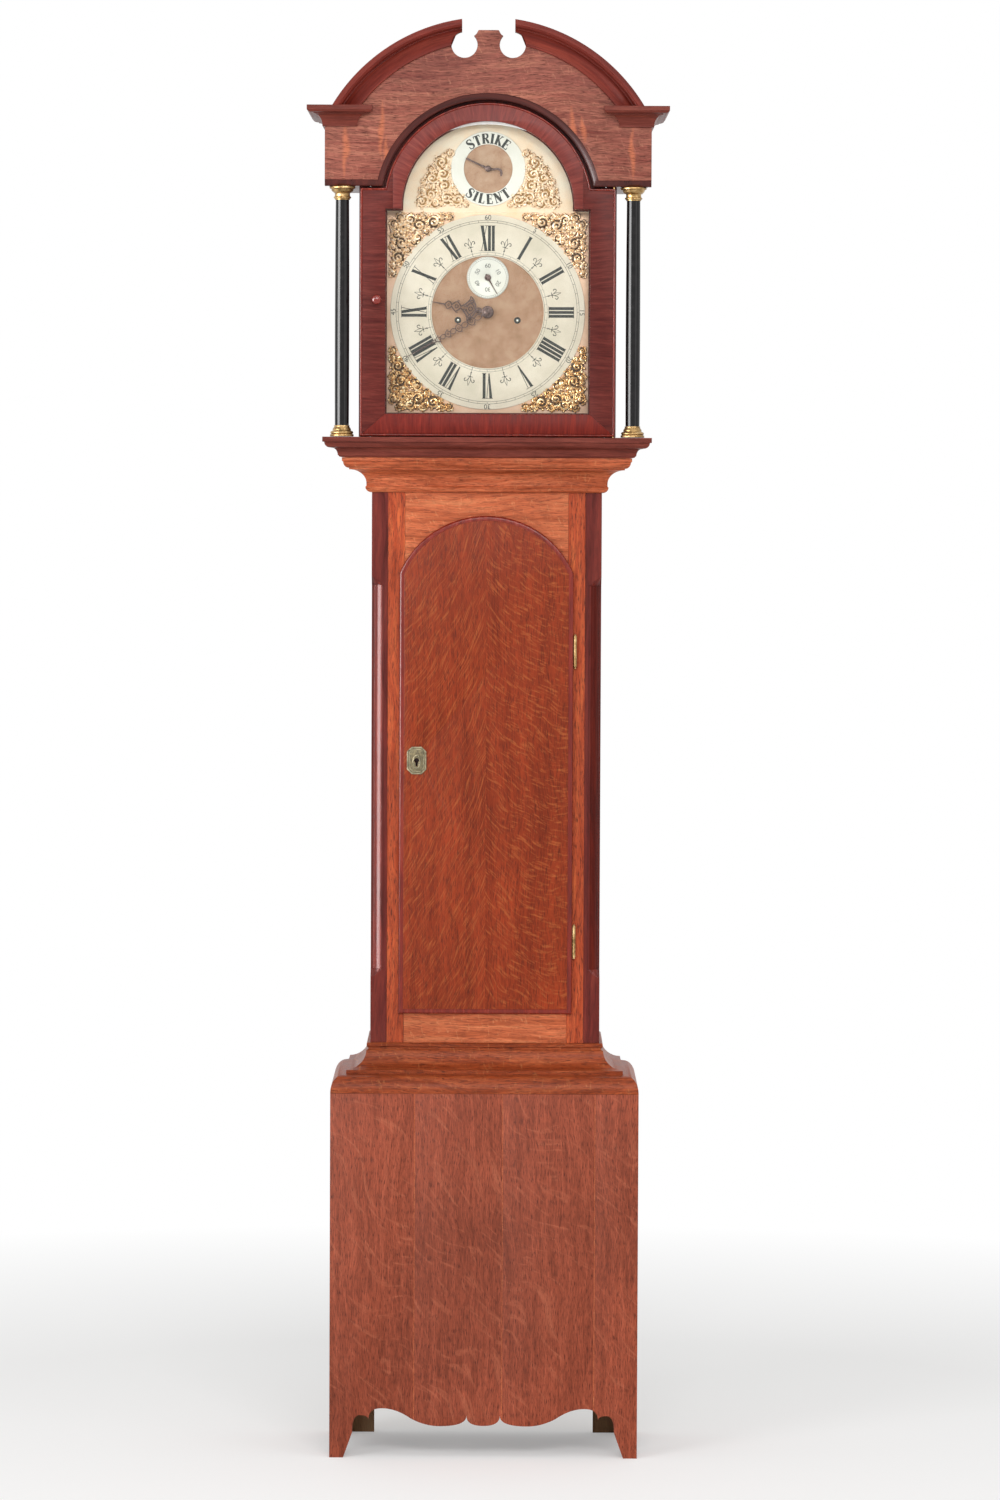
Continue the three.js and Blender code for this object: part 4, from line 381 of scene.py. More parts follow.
# Metals and the other plain surfaces: colours from dark to light, metallic, roughness, size of a patch of tone in
# millimetres, and where they differ from a metal's, relief and IOR
metals = {
    # turned and lacquered: warm yellow with soft highlights
    "lacquered brass": ("#6d5530 #a08052 #ccae7c", 0.8, 0.3, 9),
    # cast and never polished: grey-green brown, brighter on raised lines
    "aged brass plate": ("#55503e #7f7862 #a89a7c", 0.8, 0.4, 5),
    "aged ground": ("#4a4234 #6a6048 #857858", 0.6, 0.5, 3),  # the same with grime in its hollows
    # hammered, filed and stoned flat: even pinkish gold, almost matt
    "planished dial brass": ("#e0b494 #ecc1a7 #f2ccb6", 0.3, 0.4, 40),
    "brightened dial brass": ("#ffdbb8 #ffe5cc #ffefdc", 0.0, 0.42, 40),  # its arch, painted paler against the hood's shade there
    # punched all over: pinkish tan that never glints
    "matted brass": ("#936b4e #a77e65 #b49178", 0.2, 0.6, 24),
    "rubbed brass": ("#956c53 #ab836a #b8967f", 0.2, 0.5, 16),  # the same, worn a little smoother
    # cast, chased and gilt: gold with painted dark patches for shade and near-white painted glints, both at random; the
    # castings higher up the dial are painted paler against the hood's shade
    "gilt brass": ("#ac7a41 #e2b580 #e5dbc4", 0.66, 0.26, 3.4),
    "warm gilt brass": ("#cd9f6e #f2cda7 #f2e6de", 0.45, 0.3, 3.6),
    "pale gilt brass": ("#ecbe90 #fddebf #fdefe1", 0.2, 0.34, 4),
    "spandrel ground": ("#321e0d #4a2e14 #6b4922", 0.3, 0.55, 3),  # tarnish and painted shade between the scrolls
    "rubbed ground": ("#875d32 #a77e4a #c39c68", 0.2, 0.5, 3),  # the same in the arch, painted lighter against the hood's shade
    # brushed silver salts under lacquer: soft warm grey without a mirror
    "silvered brass": ("#c7baa9 #d4c5b6 #e0d2c5", 0.2, 0.42, 60),
    "bright silvering": ("#dad3cb #e0dad4 #e6e0dd", 0.15, 0.42, 60),  # the small rings, nearly white
    # heat-blued, rusted to brown-black, with paler purple patches at random as painted glints
    "blued steel": ("#3b2a2a #594442 #785f5b", 0.5, 0.4, 2.5),
    "filed steel": ("#4e3f3e #6a5656 #89726f", 0.7, 0.36, 8),  # draw-filed, dull brownish grey
    "bright steel": ("#d8d8d4 #efefec #fafaf8", 0.3, 0.3, 4),  # key-worn ends of the winding squares
    "cast lead": ("#5e5f60 #77787a #8a8b8e", 0.7, 0.58, 12),  # sand-cast, blue-grey and dull
    "bell bronze": ("#7e6a38 #a8925a #c4ae74", 1.0, 0.3, 14),  # turned, greenish gold
    # stained black and French polished: a near-black cylinder with thin bright lines
    "ebonised pearwood": ("#070606 #0e0c0d #181516", 0.0, 0.11, 10, 0.0, 1.38),
    "twisted gut": ("#a8824e #c9a870 #dcc190", 0.0, 0.55, 1.5),  # dry and honey-coloured
    "old putty": ("#f0eee8 #faf9f6 #ffffff", 0.0, 0.6, 8),  # chalk white and matt: a painted highlight
    "black wax": ("#161414 #232020 #353130", 0.0, 0.5, 3),  # engraver's filling, soot black with worn grey
}


# Cast, rolled or turned surfaces: a slow change of tone, fine marks and a dulled patch here and there.
def makeMetal(name, colours, metallic, roughness, patch, marksDepth=0.15, ior=1.5):
    material, tree = newMaterial(name)
    coords = addNode(tree, "ShaderNodeTexCoord")
    tone = addNode(tree, "ShaderNodeTexNoise", {"Scale": 1 / (patch * mm), "Detail": 4.0, "Roughness": 0.6},
                   {"Vector": coords.outputs["Object"]})
    dark, middle, light = colours.split()
    colour = addNode(tree, "ShaderNodeValToRGB", {"stops": [(0.3, dark), (0.5, middle), (0.7, light)]}, {0: tone})
    marks = addNode(tree, "ShaderNodeTexNoise", {"Scale": 700.0, "Detail": 3.0}, {"Vector": coords.outputs["Object"]})
    rough = addNode(tree, "ShaderNodeMapRange", {"From Min": 0.3, "From Max": 0.7, "To Min": roughness - 0.08,
                                                 "To Max": roughness + 0.1}, {"Value": tone})
    relief = addNode(tree, "ShaderNodeBump", {"Strength": marksDepth, "Distance": 0.0002}, {"Height": marks})
    shader = addNode(tree, "ShaderNodeBsdfPrincipled", {"Metallic": metallic, "IOR": ior},
                     {"Base Color": colour, "Roughness": rough, "Normal": relief})
    addNode(tree, "ShaderNodeOutputMaterial", links={"Surface": shader})
    return material


metal = {name: makeMetal(name, *look) for name, look in metals.items()}
brass, wax = metal["lacquered brass"], metal["black wax"]

# Old crown glass: clear, faintly green, a little uneven. It mirrors the room at a glancing angle and little face on.
glassLook = {"tint": "#fbfdfb", "faceOn": 0.016, "glancing": 0.85, "sharpness": 5.0, "roughness": 0.03, "wave": 0.08}


def makeGlass():
    material, tree = newMaterial("crown glass")
    coords = addNode(tree, "ShaderNodeTexCoord")
    wave = addNode(tree, "ShaderNodeTexNoise", {"Scale": 14.0, "Detail": 1.0}, {"Vector": coords.outputs["Object"]})
    relief = addNode(tree, "ShaderNodeBump", {"Strength": glassLook["wave"], "Distance": 0.0006}, {"Height": wave})
    clear = addNode(tree, "ShaderNodeBsdfTransparent", {"Color": glassLook["tint"]})
    shine = addNode(tree, "ShaderNodeBsdfGlossy", {"Roughness": glassLook["roughness"]}, {"Normal": relief})
    facing = addNode(tree, "ShaderNodeLayerWeight", {"Blend": 0.5}, {"Normal": relief})
    steep = addNode(tree, "ShaderNodeMath", {"operation": "POWER", 1: glassLook["sharpness"]},
                    {0: facing.outputs["Facing"]})
    soft = addNode(tree, "ShaderNodeMath", {"operation": "MULTIPLY_ADD", 1: glassLook["glancing"],
                                            2: glassLook["faceOn"]}, {0: steep})
    mixed = addNode(tree, "ShaderNodeMixShader", links={0: soft, 1: clear, 2: shine})
    addNode(tree, "ShaderNodeOutputMaterial", links={"Surface": mixed})
    return material


crownGlass = makeGlass()
print("metals and glass made:", len(metal) + 1)


# Mesh helpers. An object's curve, text or nodes become a plain mesh and the object goes, its modifier with it.
def asMesh(obj):
    bpy.context.view_layer.update()
    graph = bpy.context.evaluated_depsgraph_get()
    mesh = bpy.data.meshes.new_from_object(obj.evaluated_get(graph), depsgraph=graph)
    name, data = obj.name, obj.data
    bpy.data.objects.remove(obj)
    if isinstance(data, bpy.types.Curve):
        bpy.data.curves.remove(data)
    mesh.name = name
    return mesh


# Merges corners, turns faces outwards and smooths across shallow edges only.
def cleanMesh(mesh, smoothTo):
    work = bmesh.new()
    work.from_mesh(mesh)
    bmesh.ops.remove_doubles(work, verts=work.verts, dist=0.000004)
    bmesh.ops.dissolve_degenerate(work, edges=work.edges, dist=0.000002)
    bmesh.ops.recalc_face_normals(work, faces=work.faces)
    limit = math.radians(smoothTo)
    for edge in work.edges:
        edge.smooth = len(edge.link_faces) == 2 and edge.calc_face_angle(0) < limit
    for face in work.faces:
        face.smooth = True
    work.to_mesh(mesh)
    work.free()


# Joins the meshes into one piece; each has the material of its own place in the list, the rest have the last one.
def addPiece(name, meshes, materials, body, stands=(), smoothTo=32):
    meshes = meshes if isinstance(meshes, list) else [meshes]
    materials = materials if isinstance(materials, list) else [materials]
    work = bmesh.new()
    for index, mesh in enumerate(meshes):
        start = len(work.faces)
        cleanMesh(mesh, smoothTo)
        work.from_mesh(mesh)
        work.faces.ensure_lookup_table()
        for face in work.faces[start:]:
            face.material_index = min(index, len(materials) - 1)
        bpy.data.meshes.remove(mesh)
    joined = bpy.data.meshes.new(name)
    work.to_mesh(joined)
    work.free()
    for material in materials:
        joined.materials.append(material)
    obj = linkObject(name, joined)
    if body:
        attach(obj, body)
    if stands:
        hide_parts(*stands)
    return obj


def rawMesh(name, vertices, faces):
    mesh = bpy.data.meshes.new(name)
    mesh.from_pydata([tuple(value * mm for value in point) for point in vertices], [], faces)
    return mesh


def arcPoints(x, z, radius, fromDegrees, toDegrees, count):
    turns = [math.radians(fromDegrees + (toDegrees - fromDegrees) * i / count) for i in range(count + 1)]
    return [(x + radius * math.cos(t), z + radius * math.sin(t)) for t in turns]


def circleOutline(x, z, radius, count=48):
    return arcPoints(x, z, radius, 0, 360 - 360 / count, count - 1)


def breakArch(half, footZ, shoulderZ, radius, centreZ, count=48):
    start = math.degrees(math.asin(max(-1, min(1, (shoulderZ - centreZ) / radius))))
    arch = arcPoints(0, centreZ, radius, start, 180 - start, count)
    points = [(-half, footZ), (half, footZ), (half, shoulderZ), *arch, (-half, shoulderZ)]
    return [p for i, p in enumerate(points) if math.dist(p, points[i - 1]) > 0.02]


# Outlines drawn in x and z become a plate from frontY to backY with eased edges.
def plate(name, outlines, frontY, backY, edge=0.0, steps=1):
    curve = bpy.data.curves.new(name, "CURVE")
    curve.dimensions = "2D"
    curve.fill_mode = "BOTH"
    curve.extrude = (backY - frontY) / 2 * mm - edge * mm
    curve.bevel_depth = edge * mm
    curve.bevel_resolution = steps
    curve.offset = -edge * mm
    for outline in outlines:
        spline = curve.splines.new("POLY")
        spline.points.add(len(outline) - 1)
        for point, (x, z) in zip(spline.points, outline):
            point.co = (x * mm, z * mm, 0, 1)
        spline.use_cyclic_u = True
    mesh = asMesh(linkObject(name, curve))
    stand = Matrix.Rotation(math.radians(90), 4, "X")
    mesh.transform(Matrix.Translation((0, (frontY + backY) / 2 * mm, 0)) @ stand)
    return mesh


# Turned work about an upright line, or about one that faces the front.
def turned(name, profile, x, y, z, forward=False, steps=48):
    vertices, faces = [], []
    for radius, rise in profile:
        for i in range(steps):
            turn = 2 * math.pi * i / steps
            a, b = radius * math.cos(turn), radius * math.sin(turn)
            vertices.append((x + a, y + rise, z + b) if forward else (x + a, y + b, z + rise))
    for ring in range(len(profile) - 1):
        for i in range(steps):
            j = (i + 1) % steps
            faces.append((ring * steps + i, ring * steps + j, (ring + 1) * steps + j, (ring + 1) * steps + i))
    if profile[0] != profile[-1]:
        faces.append(tuple(range(steps)))
        faces.append(tuple(range(len(profile) * steps - steps, len(profile) * steps)))
    else:
        count = (len(profile) - 1) * steps
        faces = [tuple(v - count if v >= count else v for v in face) for face in faces]
        vertices = vertices[:count]
    return rawMesh(name, vertices, faces)


# A plain round pin that faces the front.
def pin(name, x, z, radius, front, back, steps=16):
    return turned(name, [(0, front), (radius, front), (radius, back), (0, back)], x, 0, z, forward=True, steps=steps)


# A section of quarter rounds, quarter hollows and flats, as shares of how far it stands out and up.
def mouldingProfile(start, moves, out, up, steps=9):
    here = (start * out, 0.0)
    points = [here]
    for kind, outShare, upShare in moves:
        there = (outShare * out, upShare * up)
        alike = (kind == "round") == (there[0] > here[0])
        centre = (here[0], there[1]) if alike else (there[0], here[1])
        count = 1 if kind == "flat" else steps
        for i in range(1, count + 1):
            turn = i / count * math.pi / 2
            c, s = math.cos(turn), math.sin(turn)
            points.append(tuple(centre[k] + (here[k] - centre[k]) * c + (there[k] - centre[k]) * s for k in (0, 1))
                          if i < count else there)
        here = there
    return points


# Each Geometry Nodes tree starts with its named inputs and ends in Realize Instances and Set Material.
def startTree(name, sockets):
    tree = bpy.data.node_groups.new(name, "GeometryNodeTree")
    for label, kind in sockets.items():
        tree.interface.new_socket(label, in_out="INPUT", socket_type="NodeSocket" + kind)
    tree.interface.new_socket("Piece", in_out="OUTPUT", socket_type="NodeSocketGeometry")
    return tree, addNode(tree, "NodeGroupInput").outputs


def endTree(tree, shape, finish):
    solid = addNode(tree, "GeometryNodeRealizeInstances", links={0: shape})
    painted = addNode(tree, "GeometryNodeSetMaterial", links={0: solid, 2: finish})
    addNode(tree, "NodeGroupOutput", links={0: painted})
    return tree


def runTree(obj, tree, values):
    modifier = obj.modifiers.new(tree.name, "NODES")
    modifier.node_group = tree
    for item in tree.interface.items_tree:
        if item.in_out == "INPUT" and item.name in values:
            modifier[item.identifier] = values[item.name]
    return asMesh(obj)


# A closed section follows a path, and mitred corners keep their full width.
def makeMouldingTree():
    tree, given = startTree("moulding run", {"Path": "Geometry", "Section": "Object", "Corner Stretch": "Float",
                                             "Finish": "Material"})
    position = addNode(tree, "GeometryNodeInputPosition")
    ends = addNode(tree, "GeometryNodeCurveEndpointSelection")
    stretch = addNode(tree, "GeometryNodeSwitch", {"input_type": "FLOAT", 2: 1.0},
                      {0: ends, 1: given["Corner Stretch"]})
    keepPlace = addNode(tree, "GeometryNodeCaptureAttribute", links={0: given["Path"]})
    keepPlace.capture_items.new("VECTOR", "place")
    keepPlace.capture_items.new("FLOAT", "stretch")
    tree.links.new(position.outputs[0], keepPlace.inputs[1])
    tree.links.new(stretch.outputs[0], keepPlace.inputs[2])
    path, centre, wider = keepPlace.outputs[:3]
    section = addNode(tree, "GeometryNodeObjectInfo", links={0: given["Section"]})
    swept = addNode(tree, "GeometryNodeCurveToMesh", {"Fill Caps": True}, {0: path, 1: section.outputs["Geometry"]})
    reach = addNode(tree, "ShaderNodeVectorMath", {"operation": "SUBTRACT"}, {0: position, 1: centre})
    widen = addNode(tree, "ShaderNodeCombineXYZ", {2: 1.0}, {0: wider, 1: wider})
    spread = addNode(tree, "ShaderNodeVectorMath", {"operation": "MULTIPLY"}, {0: reach, 1: widen})
    target = addNode(tree, "ShaderNodeVectorMath", {"operation": "ADD"}, {0: centre, 1: spread})
    moved = addNode(tree, "GeometryNodeSetPosition", links={0: swept, 2: target})
    return endTree(tree, moved, given["Finish"])


mouldingTree = makeMouldingTree()


# Straight runs from point to point: x, y, z and, for a line that swells, its thickness there.
def polyCurve(name, lines, cyclic=False, twist="MINIMUM"):
    curve = bpy.data.curves.new(name, "CURVE")
    curve.dimensions = "3D"
    curve.twist_mode = twist
    for line in lines:
        spline = curve.splines.new("POLY")
        spline.points.add(len(line) - 1)
        for point, (x, y, z, *swell) in zip(spline.points, line):
            point.co = (x * mm, y * mm, z * mm, 1)
            point.radius = swell[0] if swell else 1
        spline.use_cyclic_u = cyclic
    return linkObject(name, curve)


def sweepRun(name, section, path, finish, stretch=1.0, twist="MINIMUM"):
    profile = polyCurve(name + " section", [section], cyclic=True, twist="Z_UP")
    mesh = runTree(polyCurve(name, [path], twist=twist), mouldingTree,
                   {"Section": profile, "Corner Stretch": stretch, "Finish": finish})
    bpy.data.curves.remove(profile.data)
    return mesh


# The section's first axis points away from the work, its second one up.
def mouldingRun(name, section, inner, path, wood):
    closed = [(inner, 0.0), *section, (inner, section[-1][1])]
    return sweepRun(name, [(out, -up, 0) for out, up in closed], path, wood, math.sqrt(2), "Z_UP")


# Faces of a closed section carried through a row of stations, with its ends closed unless the row is a loop
def stripFaces(stations, size, cyclic=False):
    faces = []
    for step in range(stations if cyclic else stations - 1):
        near, far = step * size, (step + 1) % stations * size
        faces += [(near + i, near + (i + 1) % size, far + (i + 1) % size, far + i) for i in range(size)]
    ends = [] if cyclic else [tuple(range(size)), tuple(range((stations - 1) * size, stations * size))]
    return faces + ends


print("Geometry Nodes for mouldings made")

# Places shared by several pieces, as in the frame
sides = {"left": -1, "right": 1}
trains = {"going": 1, "strike": -1}
wallY = 142.7
trunkHalf, trunkFrontY = 171.0, -47.3
baseHalf, baseFrontY = 229.0, -105.3
friezeHalf, friezeFrontY = 240.5, -116.8
friezeFootZ, friezeArch = 1886.8, 158.4
corniceZ, pedimentZ = 2004.0, 1865.0
dialZ, dialFrontY = 1702.8, -72.8
ringFrontY, ringBackY, waxY = -74.6, -73.1, -74.7
secondsZ, strikeZ, archZ = 1753.8, 1914.3, 1855.8
windingX, windingZ = 44.0, 1690.8


def threeSides(half, frontY, footZ):
    return [(-half, wallY, footZ), (-half, frontY, footZ), (half, frontY, footZ), (half, wallY, footZ)]


# Base: boards with their joints in view, moulded top, and the apron's curves from a foot to the middle, as the
# point each is drawn towards and the point it ends at
baseBuild = {
    "joints": [-103.6, 27.4, 164.4], "jointFill": 0.8, "thickness": 18, "head": 544, "footWidth": 20.5,
    "apron": [(201.45, 19, 195, 38), (195, 63.5, 184, 63.5), (171, 63.5, 171, 57), (171, 73.9, 151, 73.9),
              (129.5, 73.9, 108, 58.8), (86.5, 47.4, 65, 47.4), (24.8, 47.4, 24.8, 63), (24.8, 48, 0, 48)],
    "mouldingFoot": 544.3, "mouldingOut": 58, "mouldingUp": 70.7,
    "moulding": [("flat", 1, .02), ("round", .69, .37), ("flat", .6, .38), ("flat", .6, .46), ("hollow", .1, .84),
                 ("flat", .05, .86), ("flat", .05, .9), ("flat", .09, .92), ("flat", .09, .98), ("flat", .05, 1)],
}


def quadratic(start, control, end, count=10):
    points = []
    for i in range(1, count + 1):
        t = i / count
        points.append(tuple((1 - t) ** 2 * start[k] + 2 * t * (1 - t) * control[k] + t * t * end[k] for k in (0, 1)))
    return points


def apronEdge():
    here = (baseHalf - baseBuild["footWidth"], 0.0)
    points = [here]
    for cx, cz, x, z in baseBuild["apron"]:
        points += quadratic(here, (cx, cz), (x, z))
        here = (x, z)
    return points


def clipOutline(points, low, high):
    for limit, side in ((low, 1), (high, -1)):
        kept = []
        for i, here in enumerate(points):
            before = points[i - 1]
            inside, wasInside = side * (here[0] - limit) >= 0, side * (before[0] - limit) >= 0
            if inside != wasInside:
                share = (limit - before[0]) / (here[0] - before[0])
                kept.append((limit, before[1] + share * (here[1] - before[1])))
            if inside:
                kept.append(here)
        points = kept
    return points


def makeBase():
    b, edge = baseBuild, apronEdge()
    outline = [(-baseHalf, b["head"]), (-baseHalf, 0), *[(-x, z) for x, z in edge], *reversed(edge[:-1]),
               (baseHalf, 0), (baseHalf, b["head"])]
    joints = [-baseHalf, *b["joints"], baseHalf]
    depth, half = b["thickness"], b["jointFill"] / 2
    boards = [plate("base board", [clipOutline(outline, low, high)], baseFrontY, baseFrontY + depth / 2, 0.15)
              for low, high in zip(joints, joints[1:])]
    boards.append(plate("board backs", [outline], baseFrontY + depth / 2 - 0.2, baseFrontY + depth, 0.2))
    fills = [plate("joint fill", [clipOutline(outline, place - half, place + half)], baseFrontY - 0.05,
                   baseFrontY + 2) for place in joints[1:-1]]
    oak = timber["oak, base boards"]
    addPiece("base_front", [*boards, *fills], [*[oak] * len(boards), *[timber["oak, rails"]] * len(fills)], "case",
             ["base_front_panel"])
    section = mouldingProfile(1, b["moulding"], b["mouldingOut"], b["mouldingUp"])
    oak = timber["oak mouldings, along x"]
    run = mouldingRun("base moulding", section, 0.3, threeSides(trunkHalf, trunkFrontY, b["mouldingFoot"]), oak)
    addPiece("base_top_moulding", run, oak, "case", ["base_moulding"])


# Trunk: the moulding that carries the hood, and the lipped door
throatBuild = {
    "foot": 1435.6, "start": 0.3, "out": 43.7, "up": 51.8,
    "moulding": [("round", .22, .16), ("flat", .185, .19), ("flat", .185, .27), ("hollow", .76, .66), ("flat", .76, .7),
                 ("round", .96, .88), ("flat", 1, .9), ("flat", 1, 1)],
}
doorBuild = {"half": 129.5, "footZ": 658.6, "radius": 141, "centreZ": 1260.3, "lipFront": -55.3, "lipBack": -47.6,
             "round": 5.2, "quirk": 7.0, "body": 9.5, "back": -29.3, "keyhole": (-103, 1037, 3.6, 9, 3.4)}


def keyholeOutline(grow=0.0):
    x, z, radius, drop, slot = doorBuild["keyhole"]
    half = slot / 2 + grow
    start = math.degrees(math.asin(half / (radius + grow)))
    return [*arcPoints(x, z, radius + grow, -90 + start, 270 - start, 20), (x - half, z - drop - grow),
            (x + half, z - drop - grow)]


def doorOutline(inset):
    half, radius = doorBuild["half"] - inset, doorBuild["radius"] - inset
    shoulder = doorBuild["centreZ"] + math.sqrt(radius ** 2 - half ** 2)
    return breakArch(half, doorBuild["footZ"] + inset, shoulder, radius, doorBuild["centreZ"], 64)


cornerBuild = {"width": 24, "depth": 27, "footZ": 544.3, "headZ": 1487.4, "cantFoot": 712, "cantHead": 1311,
               "leg": 19, "stop": 13, "round": 0.88, "bead": 0.075}


# Section of the cant from front to side: a quirk, a quarter round, a groove and a small bead.
def cantPoints():
    points, reach = [(1.0, 0.0)], cornerBuild["round"]
    for step in range(31):
        degrees = 3 * step
        if degrees > 57:
            reach = 0.79 + cornerBuild["bead"] * math.sin(math.pi * max(0, degrees - 63) / 27)
        turn = math.radians(degrees)
        points.append((1 - reach * math.sin(turn), 1 - reach * math.cos(turn)))
    return points + [(0.0, 1.0)]


def cornerStrip(side):
    b = cornerBuild
    curve = [(0, 0.02), (0.2, 0.26), (0.45, 0.52), (0.72, 0.73), (0.95, 0.85), (1.0, 1.0)]
    levels = [(b["footZ"], 0.02), *[(b["cantFoot"] + b["stop"] * up, share) for up, share in curve],
              *[(b["cantHead"] - b["stop"] * up, share) for up, share in reversed(curve)], (b["headZ"], 0.02)]
    outerX, innerX, backY = trunkHalf, trunkHalf - b["width"], trunkFrontY + b["depth"]
    vertices, size = [], 0
    for z, share in levels:
        leg = b["leg"] * share
        ring = [(outerX - leg * a, trunkFrontY + leg * c) for a, c in cantPoints()]
        ring += [(outerX, backY), (innerX, backY), (innerX, trunkFrontY)]
        size = len(ring)
        vertices += [(side * x, y, z) for x, y in ring]
    return rawMesh("corner strip", vertices, stripFaces(len(levels), size))


escutcheonBuild = {"x": -103, "z": 1037, "half": 14.5, "rise": 20.5, "cant": 7.25, "frontY": -57.1, "backY": -55.6,
                   "borders": (2.1, 3.6, 4.7), "oval": (6.4, 10.4, 1.9)}


def escutcheonOutline(inset):
    b = escutcheonBuild
    w, h, c = b["half"] - inset, b["rise"] - inset, b["cant"] - 0.586 * inset
    corners = [(w, h - c), (w - c, h), (c - w, h), (-w, h - c), (-w, c - h), (c - w, -h), (w - c, -h), (w, c - h)]
    return [(b["x"] + x, b["z"] + z) for x, z in corners]


# Cast plate with two raised borders and an oval rim round the keyhole.
def makeEscutcheon():
    b = escutcheonBuild
    front, back = b["frontY"], b["backY"]
    first, second, third = b["borders"]
    ground = plate("escutcheon ground", [escutcheonOutline(0.4), keyholeOutline()], back - 0.7, back, 0.1)
    outer = plate("outer border", [escutcheonOutline(0), escutcheonOutline(first)], front + 0.2, back - 0.5, 0.3, 2)
    inner = plate("inner border", [escutcheonOutline(second), escutcheonOutline(third)], front + 0.5, back - 0.5,
                  0.2, 2)
    wide, high, rimWidth = b["oval"]
    oval = [[(b["x"] + (wide - inset) * u, b["z"] - 2 + (high - inset) * v) for u, v in circleOutline(0, 0, 1, 40)]
            for inset in (0, rimWidth)]
    rim = plate("keyhole rim", oval, front, back - 0.5, 0.35, 2)
    addPiece("escutcheon_cast", [ground, outer, inner, rim], [metal["aged ground"], *[metal["aged brass plate"]] * 3],
             "trunk_door", ["trunk_door_escutcheon"], 40)


def makeTrunk():
    # the throat moulding's wood is painted lighter against the hood's shade
    t, oak = throatBuild, timber["oak, throat moulding"]
    section = mouldingProfile(t["start"] / t["out"], t["moulding"], t["out"], t["up"])
    run = mouldingRun("throat moulding", section, t["start"], threeSides(trunkHalf, trunkFrontY, t["foot"]), oak)
    addPiece("throat_run", run, oak, "case", ["throat_moulding"])
    front, back = doorBuild["lipFront"], doorBuild["lipBack"]
    lip = plate("door lip", [doorOutline(0), keyholeOutline()], front + 0.9, back, doorBuild["round"] * 0.7, 6)
    field = plate("door field", [doorOutline(doorBuild["quirk"]), keyholeOutline()], front, front + 4, 0.8, 2)
    body = plate("door body", [doorOutline(doorBuild["body"]), keyholeOutline()], back - 2, doorBuild["back"], 0.4)
    addPiece("trunk_door_panel", [lip, field, body], [timber["mahogany, polished edge"],
             timber["quartered oak, door"]], "trunk_door", ["trunk_door"], 40)
    for hand, side in sides.items():
        # painted shade: the left cant is polished mahogany, the right one takes its darker copy, as that side is turned
        # from the light
        strip = addPiece("trunk_corner_strip_" + hand, cornerStrip(side), [timber["mahogany, upright"],
                         timber["mahogany, polished edge" if side < 0 else "mahogany, dark edge"]],
                         "case", ["trunk_corner_" + hand], 28)
        for face in strip.data.polygons:
            face.material_index = 0.2 < abs(face.normal.x) < 0.98 and abs(face.normal.z) < 0.3
    makeEscutcheon()


# Hood: mouldings, frieze with its pierced pediment, columns. The scroll hole is given by its place and radius, the
# plinth between the two holes by half its width, its rise and the ease at its foot.
hoodBuild = {
    "baseMoves": [("round", .67, .08), ("flat", .69, .1), ("hollow", .8, .45), ("flat", .84, .47), ("round", .96, .74),
                  ("flat", 1, .76), ("flat", 1, 1)],
    "corniceMoves": [("flat", .135, .02), ("flat", .135, .06), ("hollow", .63, .6), ("flat", .63, .64),
                     ("round", .96, .76), ("flat", 1, .78), ("flat", 1, 1)],
    "baseFoot": 1487.7, "baseOut": 72, "baseUp": 30.1, "friezeBack": -96.8, "gapRise": 13, "plinth": (14.8, 8.5, 2.6),
    "corniceOut": 25.9, "corniceUp": 30.4, "bandUp": 34.5, "bandRadius": 267.7, "split": 39.0, "blockWidth": 44.5,
    "scrollHole": (35.5, 2094.0, 19.2), "edgeBand": 9.0,
}


# The frieze outline: feet, door arch, round top broken by two pierced rounds and a central plinth.
def friezeOutline(edge):
    footZ = friezeFootZ + edge
    holeX, holeZ, holeR = hoodBuild["scrollHole"]
    outerR, split = hoodBuild["bandRadius"] - 0.9, hoodBuild["split"]
    archStart = math.degrees(math.asin((corniceZ - pedimentZ) / outerR))
    archEnd = math.degrees(math.acos(split / outerR))
    doorR = friezeArch + edge
    doorStart = math.degrees(math.asin((footZ - archZ) / doorR))
    rise = hoodBuild["gapRise"]
    plinthX, plinthRise, ease = hoodBuild["plinth"]
    side = math.degrees(math.acos((split - holeX) / holeR))
    inner = holeX - math.sqrt(holeR ** 2 - rise ** 2)
    innerAngle = math.degrees(math.atan2(rise, inner - holeX))
    right = [(friezeHalf, footZ), (friezeHalf, corniceZ), *arcPoints(0, pedimentZ, outerR, archStart, archEnd, 40)]
    right += arcPoints(holeX, holeZ, holeR, side, innerAngle - 360, 36)
    right += [((plinthX + inner) / 2, holeZ + rise + ease), (plinthX, holeZ + rise + plinthRise)]
    foot = arcPoints(0, archZ, doorR, 180 - doorStart, doorStart, 48)
    points = right + [(-x, z) for x, z in reversed(right)] + foot
    return [p for i, p in enumerate(points) if math.dist(p, points[i - 1]) > 0.05]


def corniceBlock(side):
    section = mouldingProfile(0.1, hoodBuild["corniceMoves"], hoodBuild["corniceOut"], hoodBuild["corniceUp"])
    inner = friezeHalf - hoodBuild["blockWidth"]
    foot = corniceZ - hoodBuild["corniceUp"]
    path = [(-friezeHalf, wallY, foot), (-friezeHalf, friezeFrontY, foot), (-inner, friezeFrontY, foot),
            (-inner, friezeFrontY + 0.5, foot)]
    if side > 0:
        path = [(-x, y, z) for x, y, z in reversed(path)]
    return mouldingRun("cornice block", section, 0.3, path, timber["mahogany, along x"])


